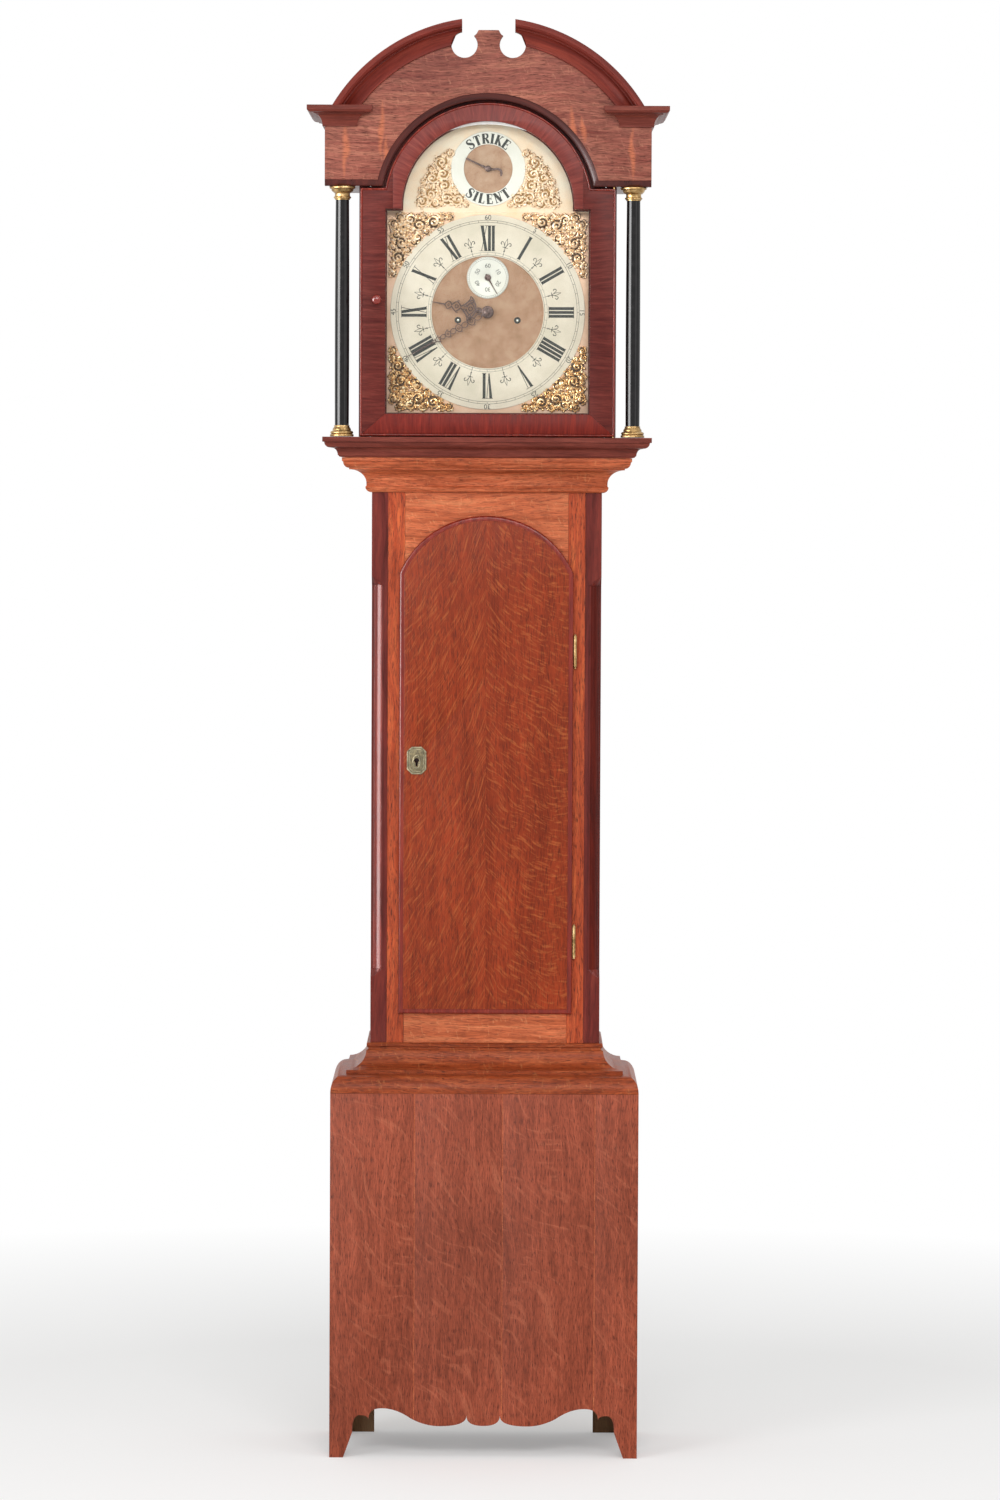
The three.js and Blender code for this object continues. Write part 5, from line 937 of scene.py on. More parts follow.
def archBand(side):
    section = mouldingProfile(0.1, hoodBuild["corniceMoves"], hoodBuild["corniceOut"], hoodBuild["bandUp"])
    foot = hoodBuild["bandRadius"] - hoodBuild["bandUp"]
    closed = [(0.3, 0.0), *section, (0.3, section[-1][1])]
    holeX, holeZ, holeR = hoodBuild["scrollHole"]
    vertices, count = [], 72
    for step in range(count + 1):
        for out, up in closed:
            radius = foot + up
            start = math.asin((corniceZ - 0.3 - pedimentZ) / radius)
            end = math.acos(hoodBuild["split"] / radius)
            reachX, reachZ = radius * math.cos(end), pedimentZ + radius * math.sin(end)
            if math.hypot(reachX - holeX, reachZ - holeZ) < holeR:  # the band ends on the pierced round
                low, high = start, end
                for _ in range(30):
                    middle = (low + high) / 2
                    gap = math.hypot(radius * math.cos(middle) - holeX, pedimentZ + radius * math.sin(middle) - holeZ)
                    low, high = (middle, high) if gap > holeR else (low, middle)
                end = low
            turn = start + (end - start) * step / count
            vertices.append((side * radius * math.cos(turn), friezeFrontY - out, pedimentZ + radius * math.sin(turn)))
    return rawMesh("pediment band", vertices, stripFaces(count + 1, len(closed)))


# A section between two outlines: shares run from the inner line to the outer one, depths back from the front.
def edgeRun(name, inner, outer, section, frontY, cyclic=False):
    vertices = [(ix + (ox - ix) * share, frontY + depth, iz + (oz - iz) * share)
                for (ix, iz), (ox, oz) in zip(inner, outer) for share, depth in section]
    return rawMesh(name, vertices, stripFaces(len(inner), len(section), cyclic))


# The hollow that runs along the foot of the frieze and over its arch.
def friezeEdge():
    lines = []
    for grow in (0, hoodBuild["edgeBand"]):
        foot, radius = friezeFootZ + grow, friezeArch + grow
        start = math.degrees(math.asin((foot - archZ) / radius))
        lines.append([(friezeHalf, foot), *arcPoints(0, archZ, radius, start, 180 - start, 72), (-friezeHalf, foot)])
    section = [(0, 7.1), (0, 5.6), (0.1, 4.4), (0.26, 3.2), (0.48, 2.2), (0.74, 1.4), (0.94, 0.9), (0.97, 0.2), (1, 0),
               (1.02, 0.4), (1.02, 7.1)]
    return edgeRun("frieze edge", *lines, section, friezeFrontY)


def makeHood():
    b, wood = hoodBuild, timber["mahogany, along x"]
    section = mouldingProfile(0.6, b["baseMoves"], b["baseOut"], b["baseUp"])
    run = mouldingRun("hood base moulding", section, 4, threeSides(trunkHalf, trunkFrontY, b["baseFoot"]), wood)
    addPiece("hood_base_run", run, wood, "hood", ["hood_base_moulding"])
    face = plate("frieze face", [friezeOutline(b["edgeBand"])], friezeFrontY, friezeFrontY + 7.2, 0.6, 2)
    back = plate("frieze back", [friezeOutline(0)], friezeFrontY + 7, b["friezeBack"], 0.2)
    # painted shade: the arch's hollow edge takes the darkest mahogany
    addPiece("hood_frieze", [face, back, friezeEdge()], [timber["quartered oak, frieze"],
             timber["mahogany, door arch"]], "hood", ["hood_frieze_board"], 34)
    for hand, side in sides.items():
        addPiece("cornice_" + hand, [corniceBlock(side), archBand(side)],
                 [timber["mahogany, along x"], timber["mahogany, pediment band"]], "hood",
                 ["hood_cornice_" + hand], 30)


columnBuild = {
    "x": 214.7, "y": -98.8, "foot": 1518.1, "base": 16.6, "shaftEnd": 1866.0, "head": 1886.5, "radius": 10.4,
    "swell": 0.5, "shaftFoot": 9.6, "shaftHead": 9.2,
    "baseTurning": [(0, 0), (17.2, 0), (17.5, 0.4), (17.5, 2.9), (17.1, 3.4), (15.9, 3.6), (15.7, 4.0), (16.6, 4.8),
                    (17.0, 6.0), (16.6, 7.2), (15.8, 7.9), (14.4, 8.4), (13.4, 9.2), (13.3, 9.8), (13.6, 10.4),
                    (13.5, 11.2), (12.8, 12.2), (11.9, 13.4), (11.3, 14.6), (11.2, 15.4), (11.6, 15.9), (11.4, 16.6),
                    (0, 16.6)],
    "capitalTurning": [(0, 0), (11.0, 0), (11.2, 1.6), (12.4, 2.2), (12.9, 3.0), (12.9, 3.9), (12.2, 4.7), (11.2, 5.2),
                       (11.1, 8.2), (11.3, 9.6), (12.2, 10.2), (12.6, 10.4), (13.6, 11.2), (15.2, 12.4), (16.1, 13.8),
                       (16.3, 15.2), (16.8, 15.7), (18.6, 16.4), (19.0, 17.0), (19.0, 19.4), (18.6, 19.8), (0, 19.8)],
}


def makeColumns():
    b = columnBuild
    for hand, side in sides.items():
        x, y, foot = side * b["x"], b["y"], b["foot"]
        addPiece("column_foot_" + hand, turned("base", b["baseTurning"], x, y, foot), brass, "hood",
                 ["column_base_" + hand], 50)
        low = foot + b["base"] + 0.1
        height = b["shaftEnd"] + 0.6 - low
        shaft = [(b["radius"] + b["swell"] * (math.sin(math.pi * i / 24) - i / 24), 0.3 + (height - 0.6) * i / 24)
                 for i in range(25)]
        shaft = [(0, 0), (b["shaftFoot"], 0), *shaft, (b["shaftHead"], height), (0, height)]
        addPiece("column_shaft_" + hand, turned("shaft", shaft, x, y, low), metal["ebonised pearwood"], "hood",
                 ["column_" + hand], 50)
        addPiece("column_head_" + hand, turned("capital", b["capitalTurning"], x, y, b["head"] - 19.85), brass,
                 "hood", ["capital_" + hand], 50)


# Hood door: crossbanded all round, mitred at the foot, with its glass and turned knob
hoodDoorBuild = {
    "half": 188.0, "foot": 1519.3, "head": 1884.0, "radius": 154.0, "front": -105.8, "back": -85.8, "bead": 3.2,
    "sight": 151.0, "sightFoot": 1551.8, "sightHead": 1853.8, "sightRadius": 127.0, "rebate": 5.0, "veneer": 2.2,
    "split": 140.0, "gap": 0.12, "pane": (-92.8, -89.8), "knob": (-163.95, 1719.8), "pivots": (1515.9, 1881.5),
    "knobTurning": [(0, 0), (5.4, 0), (5.6, -0.6), (5.2, -1.6), (3.6, -2.6), (3.1, -3.8), (3.5, -5.2), (5.0, -6.6),
                    (6.5, -8.2), (7.0, -9.8), (6.7, -11.3), (5.6, -12.7), (3.6, -13.6), (1.6, -14.0), (0, -14.0)],
}


def sightOutline(grow):
    d = hoodDoorBuild
    return breakArch(d["sight"] + grow, d["sightFoot"] - grow, d["sightHead"] + grow, d["sightRadius"] + grow,
                     archZ, 64)


def makeHoodDoor():
    d = hoodDoorBuild
    front, veneerBack = d["front"], d["front"] + d["veneer"]
    half, sight, bead, gap, splitX = d["half"], d["sight"], d["bead"], d["gap"], d["split"]
    inHalf, inFoot, inHead, inRadius = half - bead, d["foot"] + bead, d["head"] - bead, d["radius"] - bead
    start = math.degrees(math.asin((inHead - archZ) / inRadius))
    innerStart = math.degrees(math.asin((d["sightHead"] - archZ) / d["sightRadius"]))
    outerTurn = math.acos(splitX / inRadius)
    archOuter = arcPoints(0, archZ, inRadius, math.degrees(outerTurn), 180 - math.degrees(outerTurn), 64)
    archInner = arcPoints(0, archZ, d["sightRadius"], 180 - innerStart, innerStart, 64)
    head = [*archOuter, (-splitX, d["sightHead"] + gap), *archInner, (splitX, d["sightHead"] + gap)]
    stiles = []
    for side in (-1, 1):
        outer = arcPoints(0, archZ, inRadius, start, math.degrees(outerTurn), 8)
        stile = [(inHalf, inFoot + gap), (inHalf, inHead), *outer, (splitX + gap, d["sightHead"] + gap),
                 (splitX + gap, d["sightHead"]), (sight, d["sightHead"]), (sight, d["sightFoot"] + gap)]
        stiles.append(plate("stile", [[(side * x, z) for x, z in stile]], front, veneerBack, 0.25))
    rail = [(-inHalf + gap, inFoot), (inHalf - gap, inFoot), (sight - gap, d["sightFoot"]),
            (-sight + gap, d["sightFoot"])]
    foot = plate("foot rail", [rail], front, veneerBack, 0.25)
    arch = plate("arch", [head], front, veneerBack, 0.25)
    outline = breakArch(half, d["foot"], d["head"], d["radius"], archZ, 64)
    section = [(0, 2.3), (0, 1.3), (0.08, 1.1), (0.16, 0.5), (0.34, 0.08), (0.55, 0), (0.76, 0.12), (0.92, 0.5),
               (1, 1.2), (1, 2.3)]
    edging = edgeRun("edge bead", breakArch(inHalf, inFoot, inHead, inRadius, archZ, 64), outline, section, front,
                     cyclic=True)
    core = plate("core", [outline, sightOutline(0)], veneerBack - 0.2, d["pane"][0] - 0.1, 0.2)
    rear = plate("rear", [outline, sightOutline(d["rebate"])], d["pane"][0] - 0.3, d["back"], 0.3)
    pivots = [turned("pivot", [(0, 0), (1, 0), (1, 6), (0, 6)], 186, -103.8, z, steps=16) for z in d["pivots"]]
    woodNames = ["crossbanded", "crossbanded", "foot rail", "arch rail", "polished edge", "upright", "upright"]
    finishes = [*[timber["mahogany, " + name] for name in woodNames], brass]
    addPiece("hood_door", [*stiles, foot, arch, edging, core, rear, *pivots], finishes, "hood_door",
             ["hood_door_frame"])
    addPiece("hood_door_pane", plate("pane", [sightOutline(4.7)], *d["pane"]), crownGlass, "hood_door",
             ["hood_door_glass"])
    x, z = d["knob"]
    addPiece("hood_knob", turned("knob", d["knobTurning"], x, front - 0.3, z, forward=True, steps=32),
             timber["polished cherry, knob"], "hood_door", ["hood_door_knob"], 60)


# Ribbons: flat strokes along a smooth line, for engraved letters and for pierced work
def smoothLine(points, steps=6, cyclic=False):
    count = len(points)
    if count < 3:
        return [tuple(p) for p in points]
    smooth = []
    last = count if cyclic else count - 1
    for i in range(last):
        if cyclic:
            a, b, c, d = (points[(i + k) % count] for k in (-1, 0, 1, 2))
        else:
            a, b, c, d = (points[min(max(i + k, 0), count - 1)] for k in (-1, 0, 1, 2))
        for step in range(steps):
            t = step / steps
            smooth.append(tuple(0.5 * (2 * b[k] + (c[k] - a[k]) * t + (2 * a[k] - 5 * b[k] + 4 * c[k] - d[k]) * t * t
                                       + (3 * b[k] - a[k] - 3 * c[k] + d[k]) * t ** 3) for k in range(len(b))))
    return smooth if cyclic else [*smooth, tuple(points[-1])]


class Inlay:
    # Collects flat strokes on a face of the dial; each is a closed sliver of wax.
    def __init__(self, frontY, depth=0.12):
        self.vertices, self.faces, self.front, self.depth = [], [], frontY, depth

    def quad(self, left, right):
        start = len(self.vertices)
        for side in (left, right):
            for x, z in side:
                self.vertices += [(x, self.front, z), (x, self.front + self.depth, z)]
        count = len(left)
        for i in range(count - 1):
            a, b = start + 2 * i, start + 2 * (i + count)
            self.faces += [(a, a + 2, b + 2, b), (a + 1, b + 1, b + 3, a + 3), (a, a + 1, a + 3, a + 2),
                           (b, b + 2, b + 3, b + 1)]
        a, b = start, start + 2 * count
        self.faces.append((a, b, b + 1, a + 1))
        a, b = start + 2 * (count - 1), start + 2 * (2 * count - 1)
        self.faces.append((a, a + 1, b + 1, b))

    def stroke(self, points, place, smooth=True):
        line = smoothLine(points) if smooth and len(points) > 2 else [tuple(p) for p in points]
        left, right = [], []
        for i, (u, v, width) in enumerate(line):
            before, after = line[max(i - 1, 0)], line[min(i + 1, len(line) - 1)]
            runU, runV = after[0] - before[0], after[1] - before[1]
            length = math.hypot(runU, runV) or 1
            offU, offV = -runV / length * width / 2, runU / length * width / 2
            left.append(place(u + offU, v + offV))
            right.append(place(u - offU, v - offV))
        self.quad(left, right)

    def ring(self, x, z, radius, width, start=0, end=360, count=120):
        inner = arcPoints(x, z, radius - width / 2, start, end, count)
        outer = arcPoints(x, z, radius + width / 2, start, end, count)
        self.quad(inner, outer)

    def mesh(self, name):
        return rawMesh(name, self.vertices, self.faces)


# Where a letter's own (u, v) lies once it is turned round a ring: v points outwards, or inwards at the foot.
def ringPlace(x, z, clockAngle, radius, outward=True):
    turn = math.radians(clockAngle)
    out = (math.sin(turn), math.cos(turn))
    right = (math.cos(turn), -math.sin(turn))
    if not outward:
        right = (-right[0], -right[1])
    way = 1 if outward else -1

    def place(u, v):
        reach = radius + way * v
        return (x + out[0] * reach + right[0] * u, z + out[1] * reach + right[1] * u)
    return place


chapterBuild = {
    "inner": 83, "outer": 144, "numeralFoot": 90.5, "numeralHead": 127.5, "thick": 4.3, "thin": 0.9, "pitch": 5.7,
    "serif": 0.7, "tracks": [(132.4, 0.5), (135.6, 0.5)], "hourLines": [(84.6, 0.5), (88.3, 0.35)],
    "minuteRadius": 139.4, "minuteSize": 10.2, "fleurWeight": 1.7, "fleurSize": 1.2, "halfHourRadius": 104,
    "numerals": ["XII", "I", "II", "III", "IIII", "V", "VI", "VII", "VIII", "IX", "X", "XI"],
}


def drawNumeral(inlay, letters, clockAngle):
    b = chapterBuild
    widths = {"I": b["pitch"], "V": 9.6, "X": 10.2}
    total = sum(widths[letter] for letter in letters)
    place = ringPlace(0, dialZ, clockAngle, 0)
    low, high = b["numeralFoot"], b["numeralHead"]
    at = -total / 2
    for letter in letters:
        width = widths[letter]
        middle = at + width / 2
        if letter == "I":
            inlay.stroke([(middle, low, b["thick"]), (middle, high, b["thick"])], place)
            ends = [(middle, low), (middle, high)]
        elif letter == "V":
            inlay.stroke([(at + 2.4, high, b["thick"]), (middle + 0.5, low, b["thick"] * 0.42)], place)
            inlay.stroke([(at + width - 1.2, high, b["thin"]), (middle + 0.5, low, b["thin"])], place)
            ends = [(at + 2.4, high), (at + width - 1.2, high)]
        else:
            inlay.stroke([(at + 2.2, high, b["thick"]), (at + width - 2.2, low, b["thick"])], place)
            inlay.stroke([(at + width - 1.4, high, b["thin"]), (at + 1.4, low, b["thin"])], place)
            ends = [(at + 2.2, high), (at + width - 2.2, low), (at + width - 1.4, high), (at + 1.4, low)]
        for u, v in ends:
            half = 3.1 if v in (low, high) and letter == "I" else 2.9
            inlay.stroke([(u - half, v, b["serif"]), (u + half, v, b["serif"])], place)
        at += width


fleurStrokes = [
    [(0, -15.5, 0.35), (0, -6, 0.35)], [(-0.9, -9.4, 0.9), (0.9, -9.4, 0.9)], [(-0.8, -7.6, 0.5), (0.8, -7.6, 0.5)],
    [(0, -6, 0.4), (-1.3, -1.5, 0.4), (-1.4, 1.5, 0.4), (0, 7, 0.35)],
    [(0, -6, 0.4), (1.3, -1.5, 0.4), (1.4, 1.5, 0.4), (0, 7, 0.35)],
    [(-0.2, -4.5, 0.4), (-3.2, 1.2, 0.5), (-5.6, 1.8, 0.6), (-6.3, -0.6, 0.7), (-4.6, -1.6, 0.5)],
    [(0.2, -4.5, 0.4), (3.2, 1.2, 0.5), (5.6, 1.8, 0.6), (6.3, -0.6, 0.7), (4.6, -1.6, 0.5)],
    [(-3.4, -4.6, 0.5), (3.4, -4.6, 0.5)],
]


# One mark is repeated evenly round a ring that faces the front.
def makeRoundTree():
    tree, given = startTree("marks round a ring", {"Mark": "Geometry", "Count": "Int", "Start Angle": "Float",
                                                   "Centre": "Vector", "Finish": "Material"})
    points = addNode(tree, "GeometryNodePoints", links={"Count": given["Count"], "Position": given["Centre"]})
    index = addNode(tree, "GeometryNodeInputIndex")
    share = addNode(tree, "ShaderNodeMath", {"operation": "DIVIDE"}, {0: index, 1: given["Count"]})
    turn = addNode(tree, "ShaderNodeMath", {"operation": "MULTIPLY_ADD", 1: 2 * math.pi},
                   {0: share, 2: given["Start Angle"]})
    spin = addNode(tree, "ShaderNodeCombineXYZ", links={1: turn})
    spread = addNode(tree, "GeometryNodeInstanceOnPoints", links={"Points": points, "Instance": given["Mark"],
                                                                  "Rotation": spin})
    return endTree(tree, spread, given["Finish"])


roundTree = makeRoundTree()


def marksRound(name, mark, count, startDegrees, centre, finish):
    return runTree(linkObject(name, mark), roundTree, {
        "Count": count, "Start Angle": math.radians(startDegrees), "Centre": Vector(centre) * mm, "Finish": finish})


def textMesh(text, size, clockAngle, z, radius, thick=0.06):
    curve = bpy.data.curves.new("figures", "FONT")
    curve.body = text
    curve.size = size * mm
    curve.extrude = thick / 2 * mm
    curve.align_x, curve.align_y = "CENTER", "CENTER"
    mesh = asMesh(linkObject("figures", curve))
    turn = math.radians(clockAngle)
    place = Vector((radius * math.sin(turn), waxY + 0.05, z + radius * math.cos(turn))) * mm
    stand = Matrix.Rotation(math.radians(90), 4, "X") @ Matrix.Rotation(-turn, 4, "Z")
    mesh.transform(Matrix.Translation(place) @ stand)
    return mesh


def flatRing(name, inner, outer, x, z, frontY=ringFrontY, backY=ringBackY, ease=0.3, steps=96):
    profile = [(inner, backY), (inner, frontY + ease), (inner + ease, frontY), (outer - ease, frontY),
               (outer, frontY + ease), (outer, backY), (inner, backY)]
    return turned(name, profile, x, 0, z, forward=True, steps=steps)


def makeChapterRing():
    b = chapterBuild
    ring = flatRing("chapter ring", b["inner"], b["outer"], 0, dialZ, steps=160)
    addPiece("chapter_band", ring, metal["silvered brass"], "case", ["chapter_ring"], 40)
    inlay, fleur, tick, quarter = (Inlay(waxY) for _ in range(4))
    for hour, letters in enumerate(b["numerals"]):
        drawNumeral(inlay, letters, hour * 30)
    for radius, width in b["tracks"] + b["hourLines"]:
        inlay.ring(0, dialZ, radius, width)
    for points in fleurStrokes:
        fleur.stroke([(u * b["fleurSize"], v * b["fleurSize"], width * b["fleurWeight"]) for u, v, width in points],
                     ringPlace(0, 0, 0, b["halfHourRadius"]))
    for mark, lines, width in ((tick, b["tracks"], 0.45), (quarter, b["hourLines"], 0.35)):
        mark.stroke([(0, radius, width) for radius, _ in lines], ringPlace(0, 0, 0, 0))
    marks = [marksRound("marks", mark.mesh("mark"), count, start, (0, 0, dialZ), wax)
             for mark, count, start in ((fleur, 12, 15), (tick, 60, 0), (quarter, 48, 0))]
    figures = [textMesh(str(5 * (i or 12)), b["minuteSize"], 30 * i, dialZ, b["minuteRadius"]) for i in range(12)]
    addPiece("chapter_engraving", [inlay.mesh("numerals"), *marks, *figures], wax, "case")


secondsBuild = {"hole": 2.4, "radius": 31, "tracks": (27.4, 30.0), "figureRadius": 17.2, "figureSize": 8.6}


def makeSecondsDial():
    b = secondsBuild
    hole, radius, front, back = b["hole"], b["radius"], ringFrontY, ringBackY
    disc = turned("seconds", [(hole, back), (hole, front + 0.1), (hole + 0.2, front), (radius - 0.4, front),
                              (radius, front + 0.4), (radius, back), (hole, back)], 0, 0, secondsZ, forward=True,
                  steps=96)
    addPiece("seconds_disc", disc, metal["bright silvering"], "case", ["seconds_dial"], 40)
    inlay, tick = Inlay(waxY), Inlay(waxY)
    for track in b["tracks"]:
        inlay.ring(0, secondsZ, track, 0.3)
    tick.stroke([(0, track, 0.28) for track in b["tracks"]], ringPlace(0, 0, 0, 0))
    marks = marksRound("seconds marks", tick.mesh("tick"), 60, 0, (0, 0, secondsZ), wax)
    figures = [textMesh(str(10 * (i or 6)), b["figureSize"], 60 * i, secondsZ, b["figureRadius"]) for i in range(6)]
    addPiece("seconds_engraving", [inlay.mesh("lines"), marks, *figures], wax, "case")


# Serifed capitals, one unit high, from thick and thin strokes: across, up and width of each point
def thickStem(u):
    return [(u, 0, .18), (u, 1, .18)]


def thinStem(u):
    return [(u, 0, .06), (u, 1, .06)]


def serif(start, end, up=.02, width=.05):
    return [(start, up, width), (end, up, width)]


def beak(u, low, high):
    return [(u, low, .05), (u, high, .05)]


letterStrokes = {
    "S": (0.62, [[(.53, .72, .04), (.5, .9, .05), (.3, .99, .07), (.11, .88, .11), (.1, .7, .15), (.3, .53, .19),
                  (.5, .36, .17), (.52, .16, .11), (.32, .01, .07), (.1, .1, .05), (.06, .3, .04)],
                 beak(.55, .68, .98), beak(.05, .02, .34)]),
    "T": (0.68, [thickStem(.34), serif(.02, .66, .97, .06), beak(.03, .76, 1), beak(.65, .76, 1), serif(.18, .5)]),
    "R": (0.72, [thickStem(.16), [(.16, .97, .05), (.38, .97, .06), (.56, .88, .13), (.56, .64, .13),
                                  (.38, .53, .06), (.16, .52, .05)],
                 [(.36, .52, .1), (.5, .3, .16), (.62, .04, .15)], serif(.0, .32), serif(.0, .3, .98),
                 serif(.52, .74)]),
    "I": (0.36, [thickStem(.18), serif(.0, .36), serif(.0, .36, .98)]),
    "K": (0.72, [thickStem(.16), [(.58, .98, .06), (.22, .45, .06)], [(.3, .56, .1), (.62, .02, .19)],
                 serif(.0, .32), serif(.0, .32, .98), serif(.46, .72, .98), serif(.5, .76)]),
    "E": (0.62, [thickStem(.16), serif(.0, .58, .97, .06), serif(.0, .6, .03, .06), serif(.2, .46, .52),
                 beak(.57, .76, 1), beak(.59, 0, .28), beak(.46, .4, .64)]),
    "L": (0.6, [thickStem(.16), serif(.0, .34, .98), serif(.0, .58, .03, .06), beak(.57, 0, .3)]),
    "N": (0.76, [thinStem(.12), [(.13, .98, .19), (.62, .02, .19)], thinStem(.63), serif(.0, .26),
                 serif(-.04, .2, .98), serif(.5, .76, .98)]),
}
strikeBuild = {"inner": 36, "outer": 55, "letter": 14.4, "footRadius": 37.4, "spread": 42, "gap": 0.16, "weight": 1.5}


def drawWord(inlay, word, middleAngle, outward):
    b = strikeBuild
    total = sum(letterStrokes[letter][0] for letter in word) + b["gap"] * (len(word) - 1)
    at = 0.0
    for letter in word:
        width, strokes = letterStrokes[letter]
        share = (at + width / 2) / total - 0.5
        angle = middleAngle + (1 if outward else -1) * share * 2 * b["spread"]
        place = ringPlace(0, strikeZ, angle, b["footRadius"] + (0 if outward else b["letter"]), outward)
        for points in strokes:
            inlay.stroke([((u - width / 2) * b["letter"], v * b["letter"], w * b["letter"] * b["weight"])
                          for u, v, w in points], place)
        at += width + b["gap"]


def makeStrikeRing():
    ring = flatRing("strike ring", strikeBuild["inner"], strikeBuild["outer"], 0, strikeZ)
    addPiece("strike_band", ring, metal["bright silvering"], "case", ["strike_silent_ring"], 40)
    inlay = Inlay(waxY)
    drawWord(inlay, "STRIKE", 0, True)
    drawWord(inlay, "SILENT", 180, False)
    addPiece("strike_engraving", inlay.mesh("letters"), wax, "case")


# Cast scrolls: each drawn line gets a round section whose thickness follows it.
def makeScrollTree():
    tree, given = startTree("cast scrolls", {"Scrolls": "Geometry", "Strand": "Float", "Sides": "Int",
                                             "Finish": "Material"})
    section = addNode(tree, "GeometryNodeCurvePrimitiveCircle", links={"Resolution": given["Sides"],
                                                                       "Radius": given["Strand"]})
    swell = addNode(tree, "GeometryNodeInputRadius")
    swept = addNode(tree, "GeometryNodeCurveToMesh", {"Fill Caps": True},
                    {"Curve": given["Scrolls"], "Profile Curve": section, "Scale": swell})
    return endTree(tree, swept, given["Finish"])


scrollTree = makeScrollTree()


def scrollMesh(name, lines, strand, finish):
    return runTree(polyCurve(name, lines), scrollTree, {"Strand": strand * mm, "Sides": 6, "Finish": finish})


# A volute: starts wide at (x, z), curls in round its eye, thick in the middle of its run.
def volute(x, z, radius, startDegrees, turns, hand, lift, weight=1.0, count=20):
    line = []
    for i in range(count + 1):
        t = i / count
        reach = radius * (1 - 0.78 * t)
        angle = math.radians(startDegrees) + hand * turns * 2 * math.pi * t
        swell = weight * (0.45 + 0.75 * math.sin(math.pi * min(1, t * 1.15)) ** 0.8)
        if t > 0.93:
            swell *= 1.5
        line.append((x + reach * math.cos(angle), lift * (0.4 + 0.9 * math.sin(math.pi * t)),
                     z + reach * math.sin(angle), max(swell, 0.35)))
    return line


def leaf(x, z, length, degrees, bend, lift, weight=1.0, count=7):
    line = []
    for i in range(count + 1):
        t = i / count
        angle = math.radians(degrees) + bend * t
        line.append((x + length * t * math.cos(angle), lift * (0.5 + 0.8 * math.sin(math.pi * t)),
                     z + length * t * math.sin(angle), weight * (0.3 + 1.1 * math.sin(math.pi * min(1, t * 1.05)))))
    return line


# Flat fretwork for the hands: bars in the plane of the dial, each a touch nearer or farther than its neighbour.
def fretMesh(name, strokes, frontY, backY, angleDegrees, z, mirrored=True):
    turn = math.radians(angleDegrees)
    vertices, faces, layer = [], [], 0
    for stroke in strokes:
        hands = (1, -1) if mirrored and any(abs(p[0]) > 0.01 for p in stroke) else (1,)
        for hand in hands:
            line = Inlay(frontY + 0.02 * (layer % 9), backY - frontY - 0.04 * (layer % 9))
            line.stroke([(hand * u, v, width) for u, v, width in stroke],
                        lambda u, v: (u * math.cos(turn) + v * math.sin(turn),
                                      z - u * math.sin(turn) + v * math.cos(turn)))
            start = len(vertices)
            vertices += line.vertices
            faces += [tuple(start + i for i in face) for face in line.faces]
            layer += 1
    return rawMesh(name, vertices, faces)


def loopStroke(x, z, radius, width):
    return [(u, v, width) for u, v in arcPoints(x, z, radius, 0, 360, 12)]


# Hands: front, back and clockwise angle of each blade, the turnings at its centre, and its bars as across, up, width
handBuild = {
    "hour": (-77.5, -76.3, 280.4), "minute": (-80.2, -79.0, 240.9), "pointer": (-77.5, -76.3, 295),
    "hourBoss": [(2.5, -76.3), (2.5, -77.5), (2.8, -77.8), (8.2, -77.8), (9, -77.2), (9, -76.3), (2.5, -76.3)],
    "hourPipe": [(2.5, -38), (2.5, -77), (4.1, -77), (4.1, -38), (2.5, -38)],
    "collet": [(0, -78.95), (8.0, -78.95), (8.3, -79.4), (8.2, -80.4), (6.9, -80.9), (5.6, -80.7), (4.9, -81.2),
               (3.4, -81.4), (3.3, -82.1), (2.4, -82.5), (0, -82.6)],
    "pointerBoss": [(0, -76.2), (4.3, -76.2), (4.5, -77.4), (3.6, -78.2), (1.4, -78.7), (0, -78.7)],
    "secondsBoss": [(0, -75), (4.6, -75), (4.7, -75.9), (4.0, -76.15), (0, -76.2)],
}
hourFret = [
    [(0, 6, 5), (0, 12, 3.2), (0, 19, 2.2)], [(1.2, 9, 2.0), (3.6, 13, 1.8), (2.4, 17, 1.6), (0.6, 19, 1.6)],
    [(1, 18, 1.8), (7, 19.5, 2.0), (12.5, 22.5, 1.9), (16, 25.2, 1.6), (18.6, 28.6, 1.0)],
    [(18.6, 28.6, 1.0), (13.5, 28.8, 1.8), (9, 31.5, 2.0), (4.5, 36, 1.9), (0.8, 41, 1.6)],
    [(1, 20, 1.4), (5.5, 22.5, 1.6), (8.2, 26.5, 1.6), (5.2, 30, 1.6), (1, 31.6, 1.4)],
    loopStroke(11.2, 25.4, 2.1, 1.3), loopStroke(0, 25.8, 2.9, 1.4), loopStroke(3.4, 34.2, 1.7, 1.1),
    [(0.6, 40, 1.6), (4.6, 43.2, 1.7), (7.2, 47.2, 1.4), (4.8, 50.6, 1.6), (0.6, 54.5, 1.5)],
    [(7.2, 47.2, 1.3), (9.0, 45.6, 1.2), (8.0, 43.4, 1.0)], loopStroke(0, 46.6, 2.3, 1.2),
    [(0.5, 54, 1.5), (4.2, 56.4, 1.5), (5.4, 60.2, 1.2), (2.6, 62.4, 1.4), (0.4, 65, 1.5)],
    loopStroke(0, 59, 1.3, 0.9), [(0, 63, 2.4), (0, 72, 1.8), (0, 83.6, 0.9)],
]
